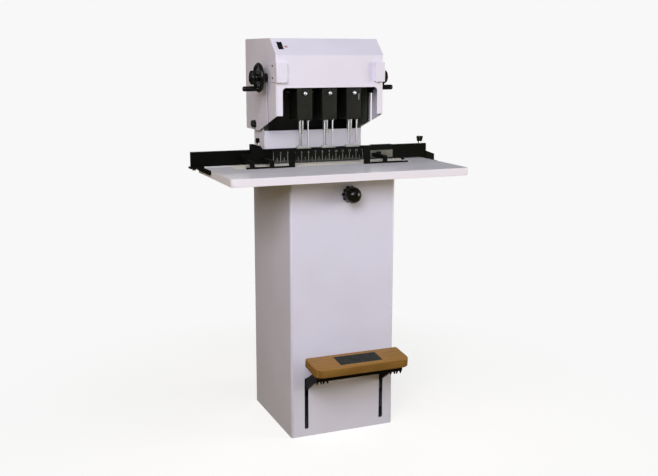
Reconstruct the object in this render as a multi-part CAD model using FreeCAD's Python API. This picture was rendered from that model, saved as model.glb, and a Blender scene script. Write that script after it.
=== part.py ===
import FreeCAD, Part
import math
import os

V = FreeCAD.Vector

# Driving dimensions in millimetres. X is to the right, the front faces -Y, and Z is up from the floor.
# The origin is on the floor under the middle of the cabinet.
cabinet_width = 370.0
cabinet_depth = 378.0
cabinet_height = 865.0
cabinet_wall = 2.0
cabinet_corner = 8.0
base_thickness = 4.0
floor_bolt_hole_radius = 5.5
floor_bolt_pitch_x = 280.0
floor_bolt_pitch_y = 300.0

treadle_centre = 3.0
slot_middle = 5.4
slot_offset = 136.6
slot_width = 13.7
slot_bottom = 26.0
slot_top = 206.0
wing_nut_offsets = (119.0, 141.0)

table_width = 812.0
table_front = -290.0
table_rear = 112.0
table_top = 896.0
table_thickness = 25.0
table_corner = 14.0
notch_half_width = 190.0
notch_front = 70.0
strip_half_length = 318.0
strip_front = -52.0
strip_rear = 48.0
strip_depth = 8.0
rail_thickness = 7.0
rail_bottom = 881.5
rail_top = 895.9
rail_front = -62.0

post_offset = 110.0
post_y = -30.0
post_radius = 14.0
yoke_bottom = 470.0
yoke_top = 498.0
guide_plate_z = 640.0
bush_radius = 21.0
running_gap = 0.05

pivot_y = -60.0
pivot_z = 120.0
shaft_radius = 12.5
lever_reach_y = 66.4
lever_reach_z = 89.7
roller_radius = 18.0
roller_width = 13.0
board_half_width = 164.0
board_back_y = -259.2
board_back_z = 300.8
board_depth = 107.0
board_thickness = 29.0
board_tilt = 5.0
pad_half_width = 73.5
pad_start = 20.0
pad_depth = 66.0
bar_half_width = 146.0
bar_front = 81.0

knob_x = 18.5
knob_z = 816.5
cam_radius = 25.0
cam_offset = 8.0
cam_shaft_radius = 6.0

column_half_width = 181.0
column_front = 78.0
column_rear = 187.0
column_wall = 2.0
column_panel_top = 1005.0
column_strip_width = 16.0
bin_top = 1150.0

cover_half_width = 190.0
cover_wall = 2.5
cover_front = -78.4
cover_rear = 247.0
cover_top = 1312.5
ridge_y = -18.6
slope_foot_z = 1258.4
leg_bottom_z = 1065.3
cover_bottom = 1005.0
cover_screw_y = 144.5
cover_screw_z = 1026.0
bracket_inner = 155.5
bracket_depth = 12.5
bracket_wrap = 2.5
slant_end_y = 109.0
opening_half_width = 168.0
opening_top = 1154.5
bracket_screw_z = (1186.2, 1224.7)

switch_x = -164.8
switch_y = -45.5
rocker_tip = 12.3
rocker_tilt = 11.0

screw_y = 12.0
screw_z = 1186.0
screw_radius = 5.0
side_slot_half_width = 6.0
wheel_places = {-1: 220.0, 1: 213.0}
wheel_radius = 49.0
web_hole_places = [90 + 72 * k for k in range(5)]
screw_past_wheel = 32.0
grip_drop = 36.0

head_middle = -1.5
head_pitch = 87.5
head_half_width = 27.0
carriage_half_width = 25.0
head_front = -70.0
head_bottom = 1048.5
drill_y = -33.0
drill_radius = 3.2
drill_tip = 956.0
rod_y = -60.0
rod_spread = 14.5
rod_radius = 3.0
foot_bottom = 956.2
foot_top = 962.2
rod_engaged = 95.0

fence_front = 30.0
fence_thickness = 14.0
fence_left = -448.0
fence_right = 416.0
fence_bottom = 899.0
fence_top = 948.0
scale_half_length = 168.0
guide_front = -72.0
guide_left_inner = -124.5
guide_right_inner = 126.5
guide_clamp_left_x = -217.5
guide_clamp_right_x = 223.5
guide_clamp_right_z = 919.5


def box(x0, x1, y0, y1, z0, z1):
    return Part.makeBox(x1 - x0, y1 - y0, z1 - z0, V(x0, y0, z0))


def rod(x, y, z, radius, length, axis):
    return Part.makeCylinder(radius, length, V(x, y, z), axis)


def along_x(x0, x1, y, z, radius):
    return rod(x0, y, z, radius, x1 - x0, V(1, 0, 0))


def along_y(y0, y1, x, z, radius):
    return rod(x, y0, z, radius, y1 - y0, V(0, 1, 0))


def along_z(z0, z1, x, y, radius):
    return rod(x, y, z0, radius, z1 - z0, V(0, 0, 1))


def plate_yz(points, x0, x1):
    """A flat profile in the YZ plane, carried from x0 to x1."""
    ring = [V(x0, y, z) for y, z in points]
    return Part.Face(Part.makePolygon(ring + ring[:1])).extrude(V(x1 - x0, 0, 0))


def plate_xz(points, y0, y1):
    """A flat profile in the XZ plane, carried from y0 to y1."""
    ring = [V(x, y0, z) for x, z in points]
    return Part.Face(Part.makePolygon(ring + ring[:1])).extrude(V(0, y1 - y0, 0))


def plate_xy(points, z0, z1):
    """A flat profile in the XY plane, carried from z0 to z1."""
    ring = [V(x, y, z0) for x, y in points]
    return Part.Face(Part.makePolygon(ring + ring[:1])).extrude(V(0, 0, z1 - z0))


def turned(profile, place, axis):
    """A profile of (radius, height) points turned about Z, then set along an axis at a place."""
    ring = [V(r, 0, h) for r, h in profile]
    solid = Part.Face(Part.makePolygon(ring + ring[:1])).revolve(V(0, 0, 0), V(0, 0, 1), 360)
    solid.Placement = FreeCAD.Placement(place, FreeCAD.Rotation(V(0, 0, 1), axis))
    return solid


def edges_near(shape, direction, test):
    """Straight edges along a direction whose middle passes a test."""
    found = []
    for edge in shape.Edges:
        if edge.Curve.TypeId != "Part::GeomLine":
            continue
        if abs(edge.tangentAt(edge.FirstParameter).dot(direction)) > 0.999 and test(edge.CenterOfMass):
            found.append(edge)
    return found


def rounded(shape, radius, direction, test=lambda middle: True):
    return shape.makeFillet(radius, edges_near(shape, direction, test))


def mirrored(shape):
    return shape.mirror(V(0, 0, 0), V(1, 0, 0))


def grouped(shapes):
    return Part.makeCompound(shapes)


def save(name, shape):
    shape.exportStep("parts/" + name + ".step")


X = V(1, 0, 0)
Y = V(0, 1, 0)
Z = V(0, 0, 1)
half_w = cabinet_width / 2
half_d = cabinet_depth / 2


def guide_shelf():
    """Shelf welded across the cabinet that holds the lower ends of the lift's guides."""
    inset = cabinet_wall
    shelf = box(-half_w + inset, half_w - inset, -95, 35, guide_plate_z, guide_plate_z + 5)
    for side in (-1, 1):
        end = side * (half_w - inset)
        inside = end - side * 4
        flange = box(min(end, inside), max(end, inside), -95, 35, guide_plate_z - 30, guide_plate_z)
        shelf = shelf.fuse(flange)
        shelf = shelf.cut(along_z(600, 700, side * post_offset, post_y, bush_radius))
    return shelf.removeSplitter()


def cabinet_shell():
    """Front, sides and top in one bent and welded sheet, with flanges for the back panel."""
    outer = box(-half_w, half_w, -half_d, half_d, 0, cabinet_height)
    outer = rounded(outer, cabinet_corner, Z, lambda m: m.y < 0)
    wall = cabinet_wall
    inner = box(-half_w + wall, half_w - wall, -half_d + wall, half_d + 1, -1, cabinet_height - wall)
    inner = rounded(inner, cabinet_corner - wall, Z, lambda m: m.y < 0)
    shell = outer.cut(inner)
    slot = box(-slot_width / 2, slot_width / 2, -half_d - 5, -half_d + 25, slot_bottom, slot_top)
    slot = rounded(slot, 4.0, Y)
    left_slot = slot.copy()
    left_slot.translate(V(slot_middle - slot_offset, 0, 0))
    slot.translate(V(slot_middle + slot_offset, 0, 0))
    shell = shell.cut(slot).cut(left_slot)
    shell = shell.cut(along_y(-half_d - 5, -half_d + 10, knob_x, knob_z, 11.0))
    for side in (-1, 1):
        x = side * post_offset
        shell = shell.cut(along_z(cabinet_height - 10, cabinet_height + 10, x, post_y, bush_radius))
    rail = box(-half_w + wall, -half_w + 26, half_d - 6, half_d - 3, 32, cabinet_height - wall)
    return shell.fuse(rail).fuse(mirrored(rail)).fuse(guide_shelf()).removeSplitter()


def cabinet_base():
    """Base plate with turned up edges and four holes for floor bolts."""
    edge = cabinet_wall + 0.2
    outer = box(-half_w + edge, half_w - edge, -half_d + edge, half_d - 4, 0, 30)
    outer = rounded(outer, cabinet_corner - edge, Z, lambda m: m.y < 0)
    inner = box(-half_w + edge + 3, half_w - edge - 3, -half_d + edge + 3, half_d - 7, base_thickness, 40)
    inner = rounded(inner, cabinet_corner - edge - 3, Z, lambda m: m.y < 0)
    base = outer.cut(inner)
    for side in (-1, 1):
        x = slot_middle + side * slot_offset
        base = base.cut(box(x - 9, x + 9, -half_d, -half_d + 20, 20, 40))
        for end in (-1, 1):
            base = base.cut(along_z(-1, 10, side * floor_bolt_pitch_x / 2, end * floor_bolt_pitch_y / 2,
                                    floor_bolt_hole_radius))
    return base


def cabinet_back():
    """Removable back panel with rows of louvre slots."""
    panel = box(-half_w + 4, half_w - 4, half_d - 3, half_d - 1, 34, 858)
    for row in range(8):
        z = 180 + row * 22
        for side in (-1, 1):
            panel = panel.cut(box(side * 85 - 45, side * 85 + 45, half_d - 5, half_d + 1, z, z + 7))
    return panel


def case_screws():
    """Pan head screws of the back panel and of the cover's corner brackets."""
    screws = []
    for side in (-1, 1):
        for z in (60, 320, 580, 836):
            screws.append(along_y(half_d - 1, half_d + 1, side * (half_w - 14), z, 3.2))
        for z in bracket_screw_z:
            screws.append(rod(side * (cover_half_width + bracket_wrap), -51, z, 3.2, 2.0, V(side, 0, 0)))
    return grouped(screws)


def bushings():
    """Flanged bronze bushings of the lift's posts, of the front knob's shaft and of the lead screws."""
    made = []
    for side in (-1, 1):
        x = side * post_offset
        upper = along_z(805, 865, x, post_y, bush_radius).fuse(along_z(865, 867.2, x, post_y, bush_radius + 5))
        lower = along_z(620, 660, x, post_y, bush_radius)
        lower = lower.fuse(along_z(guide_plate_z + 5, guide_plate_z + 9, x, post_y, bush_radius + 5))
        for body in (upper, lower):
            made.append(body.cut(along_z(600, 900, x, post_y, post_radius + running_gap)))
    front = along_y(-half_d - 2.5, -half_d, knob_x, knob_z, 15.0)
    front = front.fuse(along_y(-half_d, -half_d + 22, knob_x, knob_z, 11.0))
    made.append(front.cut(along_y(-half_d - 20, -half_d + 40, knob_x, knob_z, cam_shaft_radius + running_gap)))
    screw = along_x(column_half_width - 4, column_half_width, screw_y, screw_z, 12.0)
    screw = screw.fuse(along_x(column_half_width, cover_half_width - cover_wall, screw_y, screw_z, 8.0))
    screw = screw.cut(along_x(150, 200, screw_y, screw_z, screw_radius + running_gap))
    return grouped(made + [screw, mirrored(screw)])


def treadle_bearings():
    """Flange bearings on the cabinet's sides for the treadle's cross shaft."""
    inside = half_w - cabinet_wall
    right = along_x(inside - 22, inside, pivot_y, pivot_z, 24.0)
    right = right.fuse(box(inside - 7, inside, pivot_y - 42, pivot_y + 42, pivot_z - 26, pivot_z + 26))
    right = right.cut(along_x(inside - 40, inside - 3, pivot_y, pivot_z, shaft_radius + running_gap))
    return grouped([right, mirrored(right)])


def lift_posts():
    """Two polished posts, each with a flange plate under the table."""
    made = []
    for side in (-1, 1):
        x = side * post_offset
        plate = box(x - 48, x + 48, post_y - 32, post_y + 32, 867.8, table_top - table_thickness)
        made.append(along_z(yoke_top, 868, x, post_y, post_radius).fuse(plate))
    return grouped(made)


def lift_yoke():
    """Welded yoke: cross beam, rear arm with the push rod, front arm with the stop rod."""
    beam = box(-128, 128, post_y - 18, post_y + 18, yoke_bottom, yoke_top)
    rear = box(-16, 16, post_y + 18, lever_reach_y + 16, yoke_bottom, yoke_top)
    push = along_z(118.2, yoke_bottom, 0, lever_reach_y, 11.0)
    shoe = along_z(108.2, 118.2, 0, lever_reach_y, 16.0)
    front = box(knob_x - 10, knob_x + 10, -160, post_y - 18, yoke_bottom + 6, yoke_top - 4)
    stop = along_z(yoke_top - 4, knob_z - 95.5, knob_x, -150, 7.0)
    return beam.fuse(rear).fuse(push).fuse(shoe).fuse(front).fuse(stop).removeSplitter()


def return_springs():
    """Coil springs round the posts, between the yoke and the lower bushings."""
    flats = 10
    wire_radius = 1.7 / math.cos(math.pi / flats)
    path = Part.Wire(Part.makeHelix(16.9, 118.2, 19.0).Edges)
    edge = path.Edges[0]
    start = edge.valueAt(edge.FirstParameter)
    heading = edge.tangentAt(edge.FirstParameter)
    across = heading.cross(X)
    ring = []
    for flat in range(flats):
        angle = 2 * math.pi * (flat + 0.5) / flats
        ring.append(start + X * (wire_radius * math.cos(angle)) + across * (wire_radius * math.sin(angle)))
    coil = path.makePipeShell([Part.makePolygon(ring + ring[:1])], True, True)
    made = []
    for side in (-1, 1):
        spring = coil.copy()
        spring.translate(V(side * post_offset, post_y, yoke_top + 1.9))
        made.append(spring)
    return grouped(made)


def table_board():
    """Laminated board, notched round the column and recessed for the cutting strip."""
    half = table_width / 2
    bottom = table_top - table_thickness
    board = box(-half, half, table_front, table_rear, bottom, table_top)
    board = rounded(board, table_corner, Z)
    notch = box(-notch_half_width, notch_half_width, notch_front, table_rear + 10, bottom - 1, table_top + 1)
    board = board.cut(rounded(notch, 8.0, Z, lambda m: m.y < table_rear))
    recess = box(-strip_half_length - 0.2, strip_half_length + 0.2, strip_front - 0.2, strip_rear + 0.2,
                 table_top - strip_depth, table_top + 1)
    return board.cut(recess)


def cutting_strip():
    """Pale plastic strip let into the table under the drills."""
    return box(-strip_half_length, strip_half_length, strip_front, strip_rear,
               table_top - strip_depth, table_top)


def edge_rails():
    """Steel rails on the table's side edges that the fence's brackets run on."""
    half = table_width / 2
    right = box(half, half + rail_thickness, rail_front, table_rear - table_corner - 1, rail_bottom, rail_top)
    right = rounded(right, 6.0, X, lambda m: m.y < 0)
    return grouped([right, mirrored(right)])


def treadle_shaft():
    inside = half_w - cabinet_wall - 3.5
    return along_x(-inside, inside, pivot_y, pivot_z, shaft_radius)


def board_place(shape):
    """Moves a shape from the board's own frame, Y towards the back and Z up from its top, to its place."""
    tilt = FreeCAD.Rotation(V(1, 0, 0), board_tilt)
    shape.Placement = FreeCAD.Placement(V(0, board_back_y, board_back_z), tilt).multiply(shape.Placement)
    return shape


def treadle_frame():
    """Two goosenecked flat arms from the shaft, out through the slots, welded to a bar under the board."""
    lower = [(pivot_y - 10, pivot_z - 22), (-150, 141), (-189, 165), (-214, 181), (-246, 203), (-274, 218),
             (-292, 234), (-303, 259)]
    upper = [(-303, 264.8), (-263, 268.2), (-255, 243), (-232, 228), (-205, 212), (-180, 199), (-130, 176),
             (pivot_y + 10, pivot_z + 24)]
    left = plate_yz(lower + upper, -slot_offset - 4.5, -slot_offset + 4.5)
    hub = along_x(-slot_offset - 9, -slot_offset + 9, pivot_y, pivot_z, 24.0)
    foot = box(-slot_offset - 18, -slot_offset + 18, -80, -12, -33, -29)
    foot = board_place(foot)
    left = left.fuse(hub).fuse(foot)
    left = left.cut(along_x(-200, 200, pivot_y, pivot_z, shaft_radius))
    arms = left.fuse(mirrored(left))
    arms.translate(V(slot_middle, 0, 0))
    bar = box(-bar_half_width, bar_half_width, -bar_front, -bar_front + 30, -33, -29)
    bar = board_place(bar.fuse(box(-bar_half_width, bar_half_width, -bar_front, -bar_front + 5, -51.5, -29)))
    bar.translate(V(treadle_centre, 0, 0))
    return arms.fuse(bar).removeSplitter()


def treadle_board():
    """Oak board with rounded corners and a shallow recess for the grip pad."""
    board = box(-board_half_width, board_half_width, -board_depth, 0, -board_thickness, 0)
    board = rounded(board, 30.0, Z, lambda m: m.y < -1)
    board = rounded(board, 9.0, Z, lambda m: m.y > -1)
    board = board.makeFillet(3.5, [e for e in board.Edges if abs(e.BoundBox.ZMin) < 0.01])
    recess = box(-pad_half_width, pad_half_width, -pad_start - pad_depth, -pad_start, -2, 1)
    board = board.cut(recess)
    return board_place(board)


def treadle_pad():
    gap = 0.1
    front = -pad_start - pad_depth
    pad = box(-pad_half_width + gap, pad_half_width - gap, front + gap, -pad_start - gap, -2, 1)
    for row in range(15):
        y = front + 4 + row * 4
        pad = pad.cut(box(-pad_half_width - 1, pad_half_width + 1, y, y + 1.2, 0.2, 2))
    return board_place(pad)


def wing_nuts():
    """Four wing nuts that clamp the board to the frame's bar."""
    made = []
    for side in (-1, 1):
        for offset in wing_nut_offsets:
            x = treadle_centre + side * offset
            y = -bar_front + 15
            nut = along_z(-57, -33, x, y, 5.0).fuse(box(x - 9, x + 9, y - 2.2, y + 2.2, -67, -50))
            made.append(board_place(nut.removeSplitter()))
    return grouped(made)


def treadle_lever():
    """Rear lever on the shaft, forked round the roller that raises the push rod."""
    hub = along_x(-20, 20, pivot_y, pivot_z, 24.0)
    span = [(pivot_y - 4, pivot_z + 20), (pivot_y - 4, pivot_z - 20), (lever_reach_y + 4, lever_reach_z - 10),
            (lever_reach_y + 10, lever_reach_z), (lever_reach_y + 4, lever_reach_z + 9)]
    cheek = plate_yz(span, 8, 16)
    lever = hub.fuse(cheek).fuse(mirrored(cheek))
    lever = lever.cut(along_x(-30, 30, pivot_y, pivot_z, shaft_radius))
    pin = along_x(-18, 18, lever_reach_y, lever_reach_z, 5.0)
    return lever.fuse(pin).removeSplitter()


def treadle_roller():
    roller = along_x(-roller_width / 2, roller_width / 2, lever_reach_y, lever_reach_z, roller_radius)
    return roller.cut(along_x(-20, 20, lever_reach_y, lever_reach_z, 5.0 + running_gap))


def height_knob():
    """Domed knob with a lobed skirt, on the front of the cabinet."""
    face = -half_d - 3
    skirt = along_y(face - 32, face, knob_x, knob_z, 24.0)
    for lobe in range(10):
        angle = math.radians(lobe * 36)
        x = knob_x + 23.0 * math.cos(angle)
        z = knob_z + 23.0 * math.sin(angle)
        skirt = skirt.fuse(along_y(face - 14, face, x, z, 5.5))
    dome = Part.makeSphere(27.0, V(knob_x, face - 32, knob_z))
    dome = dome.common(box(knob_x - 40, knob_x + 40, face - 60, face - 8, knob_z - 40, knob_z + 40))
    knob = skirt.fuse(dome).removeSplitter()
    return knob.cut(along_y(face - 25, face + 5, knob_x, knob_z, cam_shaft_radius))


def cam_shaft():
    """Shaft of the knob with an eccentric disc that stops the table's rise."""
    shaft = along_y(-half_d - 27, -140, knob_x, knob_z, cam_shaft_radius)
    return shaft.fuse(along_y(-158, -144, knob_x, knob_z + cam_offset, cam_radius)).removeSplitter()


def column_casing():
    """Sheet steel column: sides, rear and a front panel that stops below the heads."""
    w = column_half_width
    t = column_wall
    high = 1282.0
    outer = box(-w, w, column_front, column_rear, cabinet_height, high)
    outer = rounded(outer, 4.0, Z, lambda m: m.y < 100)
    inner = box(-w + t, w - t, column_front + t, column_rear - t, cabinet_height + 2, high + 1)
    casing = outer.cut(inner)
    edge = w - column_strip_width
    window = box(-edge, edge, column_front - 5, column_front + 10, column_panel_top, high + 1)
    casing = casing.cut(window)
    rear = box(-152, 152, column_rear - 10, column_rear + 5, bin_top, high + 1)
    casing = casing.cut(rear)
    inlet = box(-134, -106, column_rear - 10, column_rear + 5, 926, 948)
    return casing.cut(inlet).removeSplitter()


def inner_plates():
    """Two steel plates between column and cover that carry rods and lead screws, and the column's deck."""
    x0 = column_half_width
    x1 = cover_half_width - cover_wall
    outline = [(30, 1034), (88, 1016), (182, 1016), (182, 1284), (-20, 1284), (-50, 1257), (-50, 1166),
               (-3, 1140), (-3, 1132), (30, 1132)]
    plate = plate_yz(outline, x0, x1)
    plate = plate.cut(along_x(x0 - 5, x1 + 5, screw_y, screw_z, 8.0))
    plate = plate.cut(along_x(x0 - 5, x1 + 5, cover_screw_y, cover_screw_z, 3.0))
    inside = column_half_width - column_wall
    deck = box(-inside, inside, column_front + column_wall, column_rear - column_wall, 996, 998)
    return grouped([plate, mirrored(plate), deck])


def guide_rods():
    """Two ground rods across the side plates that the heads ride on."""
    w = column_half_width
    return grouped([along_x(-w, w, 36, 1166, 8.0), along_x(-w, w, 22, 1226, 8.0)])


def cover_outline(inset):
    """The cover's side profile, all edges moved in by the same amount, open below."""
    run = ridge_y - cover_front
    rise = cover_top - slope_foot_z
    length = math.hypot(run, rise)
    front = cover_front + inset
    top = cover_top - inset
    slope_front_z = slope_foot_z - inset * (length - rise) / run
    slope_top_y = ridge_y + inset * (length - run) / rise
    below = 0 if inset == 0 else 40
    return [(cover_rear - inset, cover_bottom - below), (cover_rear - inset, top), (slope_top_y, top),
            (front, slope_front_z), (front, leg_bottom_z - below), (slant_end_y, cover_bottom - below)]


def cover():
    """One-piece cover over the heads, open below and at the front, with a slot in each side."""
    w = cover_half_width
    outer = plate_yz(cover_outline(0), -w, w)
    soft = edges_near(outer, Z, lambda m: m.y < -50)
    soft += edges_near(outer, X, lambda m: m.z > 1300 and m.y > 200)
    outer = outer.makeFillet(7.0, soft)
    shell = outer.cut(plate_yz(cover_outline(cover_wall), -w + cover_wall, w - cover_wall))
    mouth = box(-opening_half_width, opening_half_width, cover_front - 5, cover_front + 8, 1000, opening_top)
    mouth = rounded(mouth, 12.0, Y, lambda m: m.z > 1100)
    shell = shell.cut(mouth)
    slot = box(-w - 5, w + 5, screw_y - side_slot_half_width, screw_y + side_slot_half_width, 1000, screw_z)
    slot = slot.fuse(along_x(-w - 5, w + 5, screw_y, screw_z, side_slot_half_width))
    shell = shell.cut(slot)
    shell = shell.cut(along_x(-w - 5, w + 5, cover_screw_y, cover_screw_z, 3.1))
    hole = box(-7.3, 7.3, -15.6, 15.6, -10, 10)
    shell = shell.cut(switch_place(hole))
    return shell


def switch_place(shape):
    """Sets a shape made flat at the origin, Y up the slope, on the sloped face at the switch."""
    angle = math.degrees(math.atan2(cover_top - slope_foot_z, ridge_y - cover_front))
    turn = FreeCAD.Rotation(X, angle)
    z = cover_top + (switch_y - ridge_y) * (cover_top - slope_foot_z) / (ridge_y - cover_front)
    shape.Placement = FreeCAD.Placement(V(switch_x, switch_y, z), turn).multiply(shape.Placement)
    return shape


def switch_frame():
    """Bezel of the rocker switch, clipped into the cover."""
    frame = box(-8.5, 8.5, -17, 17, 0, 1.6).fuse(box(-7.2, 7.2, -15.5, 15.5, -14, 0))
    frame = frame.cut(box(-5.8, 5.8, -12.6, 12.6, -12.5, 5))
    return switch_place(frame.removeSplitter())


def rocker():
    """Rocker key with arc ends round its pivot, tipped to its off position."""
    arc = [math.radians(a) for a in (28, 18, 8, -2, -10)]
    right = [(rocker_tip * math.cos(a), rocker_tip * math.sin(a)) for a in arc]
    left = [(-y, z) for y, z in reversed(right)]
    key = plate_yz([(0, 4.2)] + right + [(0, -5)] + left, -5.6, 5.6)
    turn = FreeCAD.Rotation(X, -rocker_tilt)
    key.Placement = FreeCAD.Placement(V(0, 0, -4), turn)
    return switch_place(key)


def corner_brackets():
    """Thick angle pieces that wrap the cover's front corners beside the handwheels."""
    w = cover_half_width
    outer = box(bracket_inner, w + bracket_wrap, cover_front - bracket_depth, -33, 1172, 1235.5)
    outer = rounded(outer, 6.0, Z, lambda m: m.x > w - 10 and m.y < -60)
    inner = box(100, w, cover_front, 0, 1160, 1250)
    inner = rounded(inner, 7.0, Z, lambda m: m.x > w - 10 and m.y < -60)
    right = outer.cut(inner)
    right = rounded(right, 5.0, Y, lambda m: m.x < bracket_inner + 7 and m.z < 1200)
    return grouped([right, mirrored(right)])


def thumb_screw(side):
    """Knob-headed screw that holds the cover to the side plate."""
    start = cover_half_width
    profile = [(0, 0.3), (11.5, 0.3), (12.5, 2), (12.5, 12), (10.5, 15), (0, 15)]
    knob = turned(profile, V(start, cover_screw_y, cover_screw_z), X)
    shank = along_x(column_half_width + 1, start + 0.3, cover_screw_y, cover_screw_z, 2.95)
    screw = knob.fuse(shank).removeSplitter()
    return screw if side > 0 else mirrored(screw)


def chip_chute():
    """Bent sheet that turns the chips from the spindles back and down behind the column."""
    top = [(-46, 1270), (-12, 1300), (228, 1300), (240, 1288), (240, 1160)]
    t = 1.5
    under = [(240 - t, 1160), (240 - t, 1288 - t / 2), (228 - t / 2, 1300 - t), (-12 + t / 3, 1300 - t),
             (-46 + 1.0, 1270 - 1.1)]
    hood = plate_yz(top + under, -150, 150)
    for side in (-1, 1):
        cheek = [(-44, 1268), (-12, 1298.6), (228, 1298.6), (238.5, 1287), (238.5, 1160), (192, 1160),
                 (192, 1262), (40, 1264)]
        x = side * 149.25
        hood = hood.fuse(plate_yz(cheek, x - 0.75, x + 0.75))
    return hood.removeSplitter()


def chip_bin():
    """Open-topped chip box hung in the rear of the cover, behind the column."""
    outer = box(-148, 148, 189, 243, 1012, bin_top)
    bin_body = outer.cut(box(-146.5, 146.5, 190.5, 241.5, 1013.5, 1160))
    hook = box(-60, 60, 183, 190, bin_top, bin_top + 1.5)
    hook = hook.fuse(box(-60, 60, 183, 184.5, bin_top - 22, bin_top + 1.5))
    return bin_body.fuse(hook).removeSplitter()


def power_inlet():
    """Three-pin appliance inlet in the rear of the column."""
    x = -120.0
    body = box(x - 13.8, x + 13.8, column_rear - 22, column_rear, 926.2, 947.8)
    flange = box(x - 20, x + 20, column_rear, column_rear + 2.5, 924, 950)
    well = box(x - 11, x + 11, column_rear - 16, column_rear + 5, 929, 945)
    inlet = body.fuse(flange).cut(well)
    for dx, dz in ((-5, 0), (5, 0), (0, 4)):
        pin = box(x + dx - 1, x + dx + 1, column_rear - 16, column_rear - 2, 937 + dz - 2.5, 937 + dz + 2.5)
        inlet = inlet.fuse(pin)
    return inlet.removeSplitter()


def lead_screw(side):
    """Lead screw of an outer head, from its nut out through the cover's slot to the handwheel."""
    wheel_x = wheel_places[side]
    screw = along_x(carriage_half_width + 3, wheel_x + screw_past_wheel, screw_y, screw_z, screw_radius)
    collar = along_x(cover_half_width + 1, wheel_x - 9, screw_y, screw_z, 14.0)
    screw = screw.fuse(collar).removeSplitter()
    return screw if side > 0 else mirrored(screw)


def hub_knob(wheel_x):
    """Round lock knob screwed to the end of a lead screw."""
    profile = [(0, 0), (19, 0), (23.3, 3), (23.3, 11), (20, 15.5), (10, 18), (0, 19)]
    knob = turned(profile, V(wheel_x + 14, screw_y, screw_z), X)
    return knob.cut(along_x(wheel_x, wheel_x + screw_past_wheel, screw_y, screw_z, screw_radius))


def handwheel(side):
    """Moulded wheel with a rounded rim, round holes in its web, the grip's pin and the lock knob."""
    wheel_x = wheel_places[side]
    rim = Part.makeTorus(wheel_radius - 6.5, 6.5, V(wheel_x, screw_y, screw_z), X)
    web = along_x(wheel_x - 2, wheel_x + 2, screw_y, screw_z, wheel_radius - 8)
    for place in web_hole_places:
        angle = math.radians(place)
        web = web.cut(along_x(wheel_x - 5, wheel_x + 5, screw_y + 27.0 * math.cos(angle),
                              screw_z + 27.0 * math.sin(angle), 7.0))
    hub = along_x(wheel_x - 8.5, wheel_x + 14, screw_y, screw_z, 12.0)
    wheel = rim.fuse(web).fuse(hub)
    boss = along_x(wheel_x - 3, wheel_x + 8, screw_y, screw_z - grip_drop, 7.5)
    wheel = wheel.fuse(boss)
    wheel = wheel.cut(along_x(wheel_x - 20, wheel_x + 40, screw_y, screw_z, screw_radius))
    wheel = wheel.fuse(along_x(wheel_x - 1, wheel_x + 51, screw_y, screw_z - grip_drop, 3.0)).removeSplitter()
    wheel = grouped([wheel, hub_knob(wheel_x)])
    return wheel if side > 0 else mirrored(wheel)


def crank_grip(side):
    """Turning grip on a fixed pin in the wheel."""
    start = wheel_places[side] + 8.3
    bore = 3.0 + running_gap
    profile = [(bore, 0), (7.6, 0), (8.5, 3), (8.7, 24), (8.4, 42), (6.8, 45.5), (0, 46), (0, 44), (bore, 44)]
    grip = turned(profile, V(start, screw_y, screw_z - grip_drop), X)
    return grip if side > 0 else mirrored(grip)


def head_block(x, nut):
    """Cast head with its carriage on the rods and its bores, and the bright knob on its face."""
    w = head_half_width
    block = box(x - w, x + w, head_front, 4, head_bottom, 1172)
    block = rounded(block, 3.0, Z, lambda m: m.y < -60)
    w = carriage_half_width
    block = block.fuse(box(x - w, x + w, -10, 50, 1140, 1246)).removeSplitter()
    block = block.cut(along_z(head_bottom - 5, 1300, x, drill_y, 9.05))
    for side in (-1, 1):
        hole = along_z(head_bottom - 5, head_bottom + rod_engaged, x + side * rod_spread, rod_y,
                       rod_radius + running_gap)
        block = block.cut(hole)
    block = block.cut(along_x(x - 40, x + 40, 36, 1166, 8.0 + running_gap))
    block = block.cut(along_x(x - 40, x + 40, 22, 1226, 8.0 + running_gap))
    bore = screw_radius + (0.1 if nut else 3.0)
    block = block.cut(along_x(x - 40, x + 40, screw_y, screw_z, bore))
    profile = [(0, 0), (4.5, 0), (6.4, 2.5), (7.0, 5), (6.4, 8), (4.5, 10.3), (0, 11.5)]
    stud = turned(profile, V(x, head_front, 1136), V(0, -1, 0))
    return grouped([block, stud])


def head_motor(x):
    """Motor can on top of a head, round the hollow spindle."""
    can = along_z(1172, 1250, x, drill_y, 33.0)
    can = can.cut(box(x - 40, x + 40, -10, 40, 1160, 1260))
    return can.cut(along_z(1160, 1260, x, drill_y, 9.05))


def spindle(x):
    """Hollow spindle with its chuck, open right through for the chips, and the hollow drill in it."""
    top = 1256.0
    profile = [(3.0, 1012), (8.2, 1012), (9.6, 1013.5), (9.6, 1018.5), (8.6, 1018.5), (8.6, 1020.5),
               (9.6, 1020.5), (9.6, 1047.5), (9.0, 1047.5), (9.0, top), (3.0, top)]
    solid = turned(profile, V(0, 0, 0), Z)
    drill = along_z(drill_tip, 1012, 0, 0, drill_radius).fuse(along_z(1006, 1012, 0, 0, 6.0))
    drill = drill.cut(along_z(drill_tip - 5, 1020, 0, 0, drill_radius - 1.0)).removeSplitter()
    pair = grouped([solid, drill])
    pair.translate(V(x, drill_y, 0))
    return pair


def presser(x):
    """Presser foot on two sprung rods beside and in front of the drill."""
    foot = box(x - 24.5, x + 24.5, -67, -20, foot_bottom, foot_top)
    foot = rounded(foot, 4.0, Z)
    foot = foot.cut(along_z(foot_bottom - 5, foot_top + 5, x, drill_y, drill_radius + 1.5))
    for side in (-1, 1):
        rod_x = x + side * rod_spread
        foot = foot.fuse(along_z(foot_top, head_bottom + rod_engaged - 48, rod_x, rod_y, rod_radius))
    return foot.removeSplitter()


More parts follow.
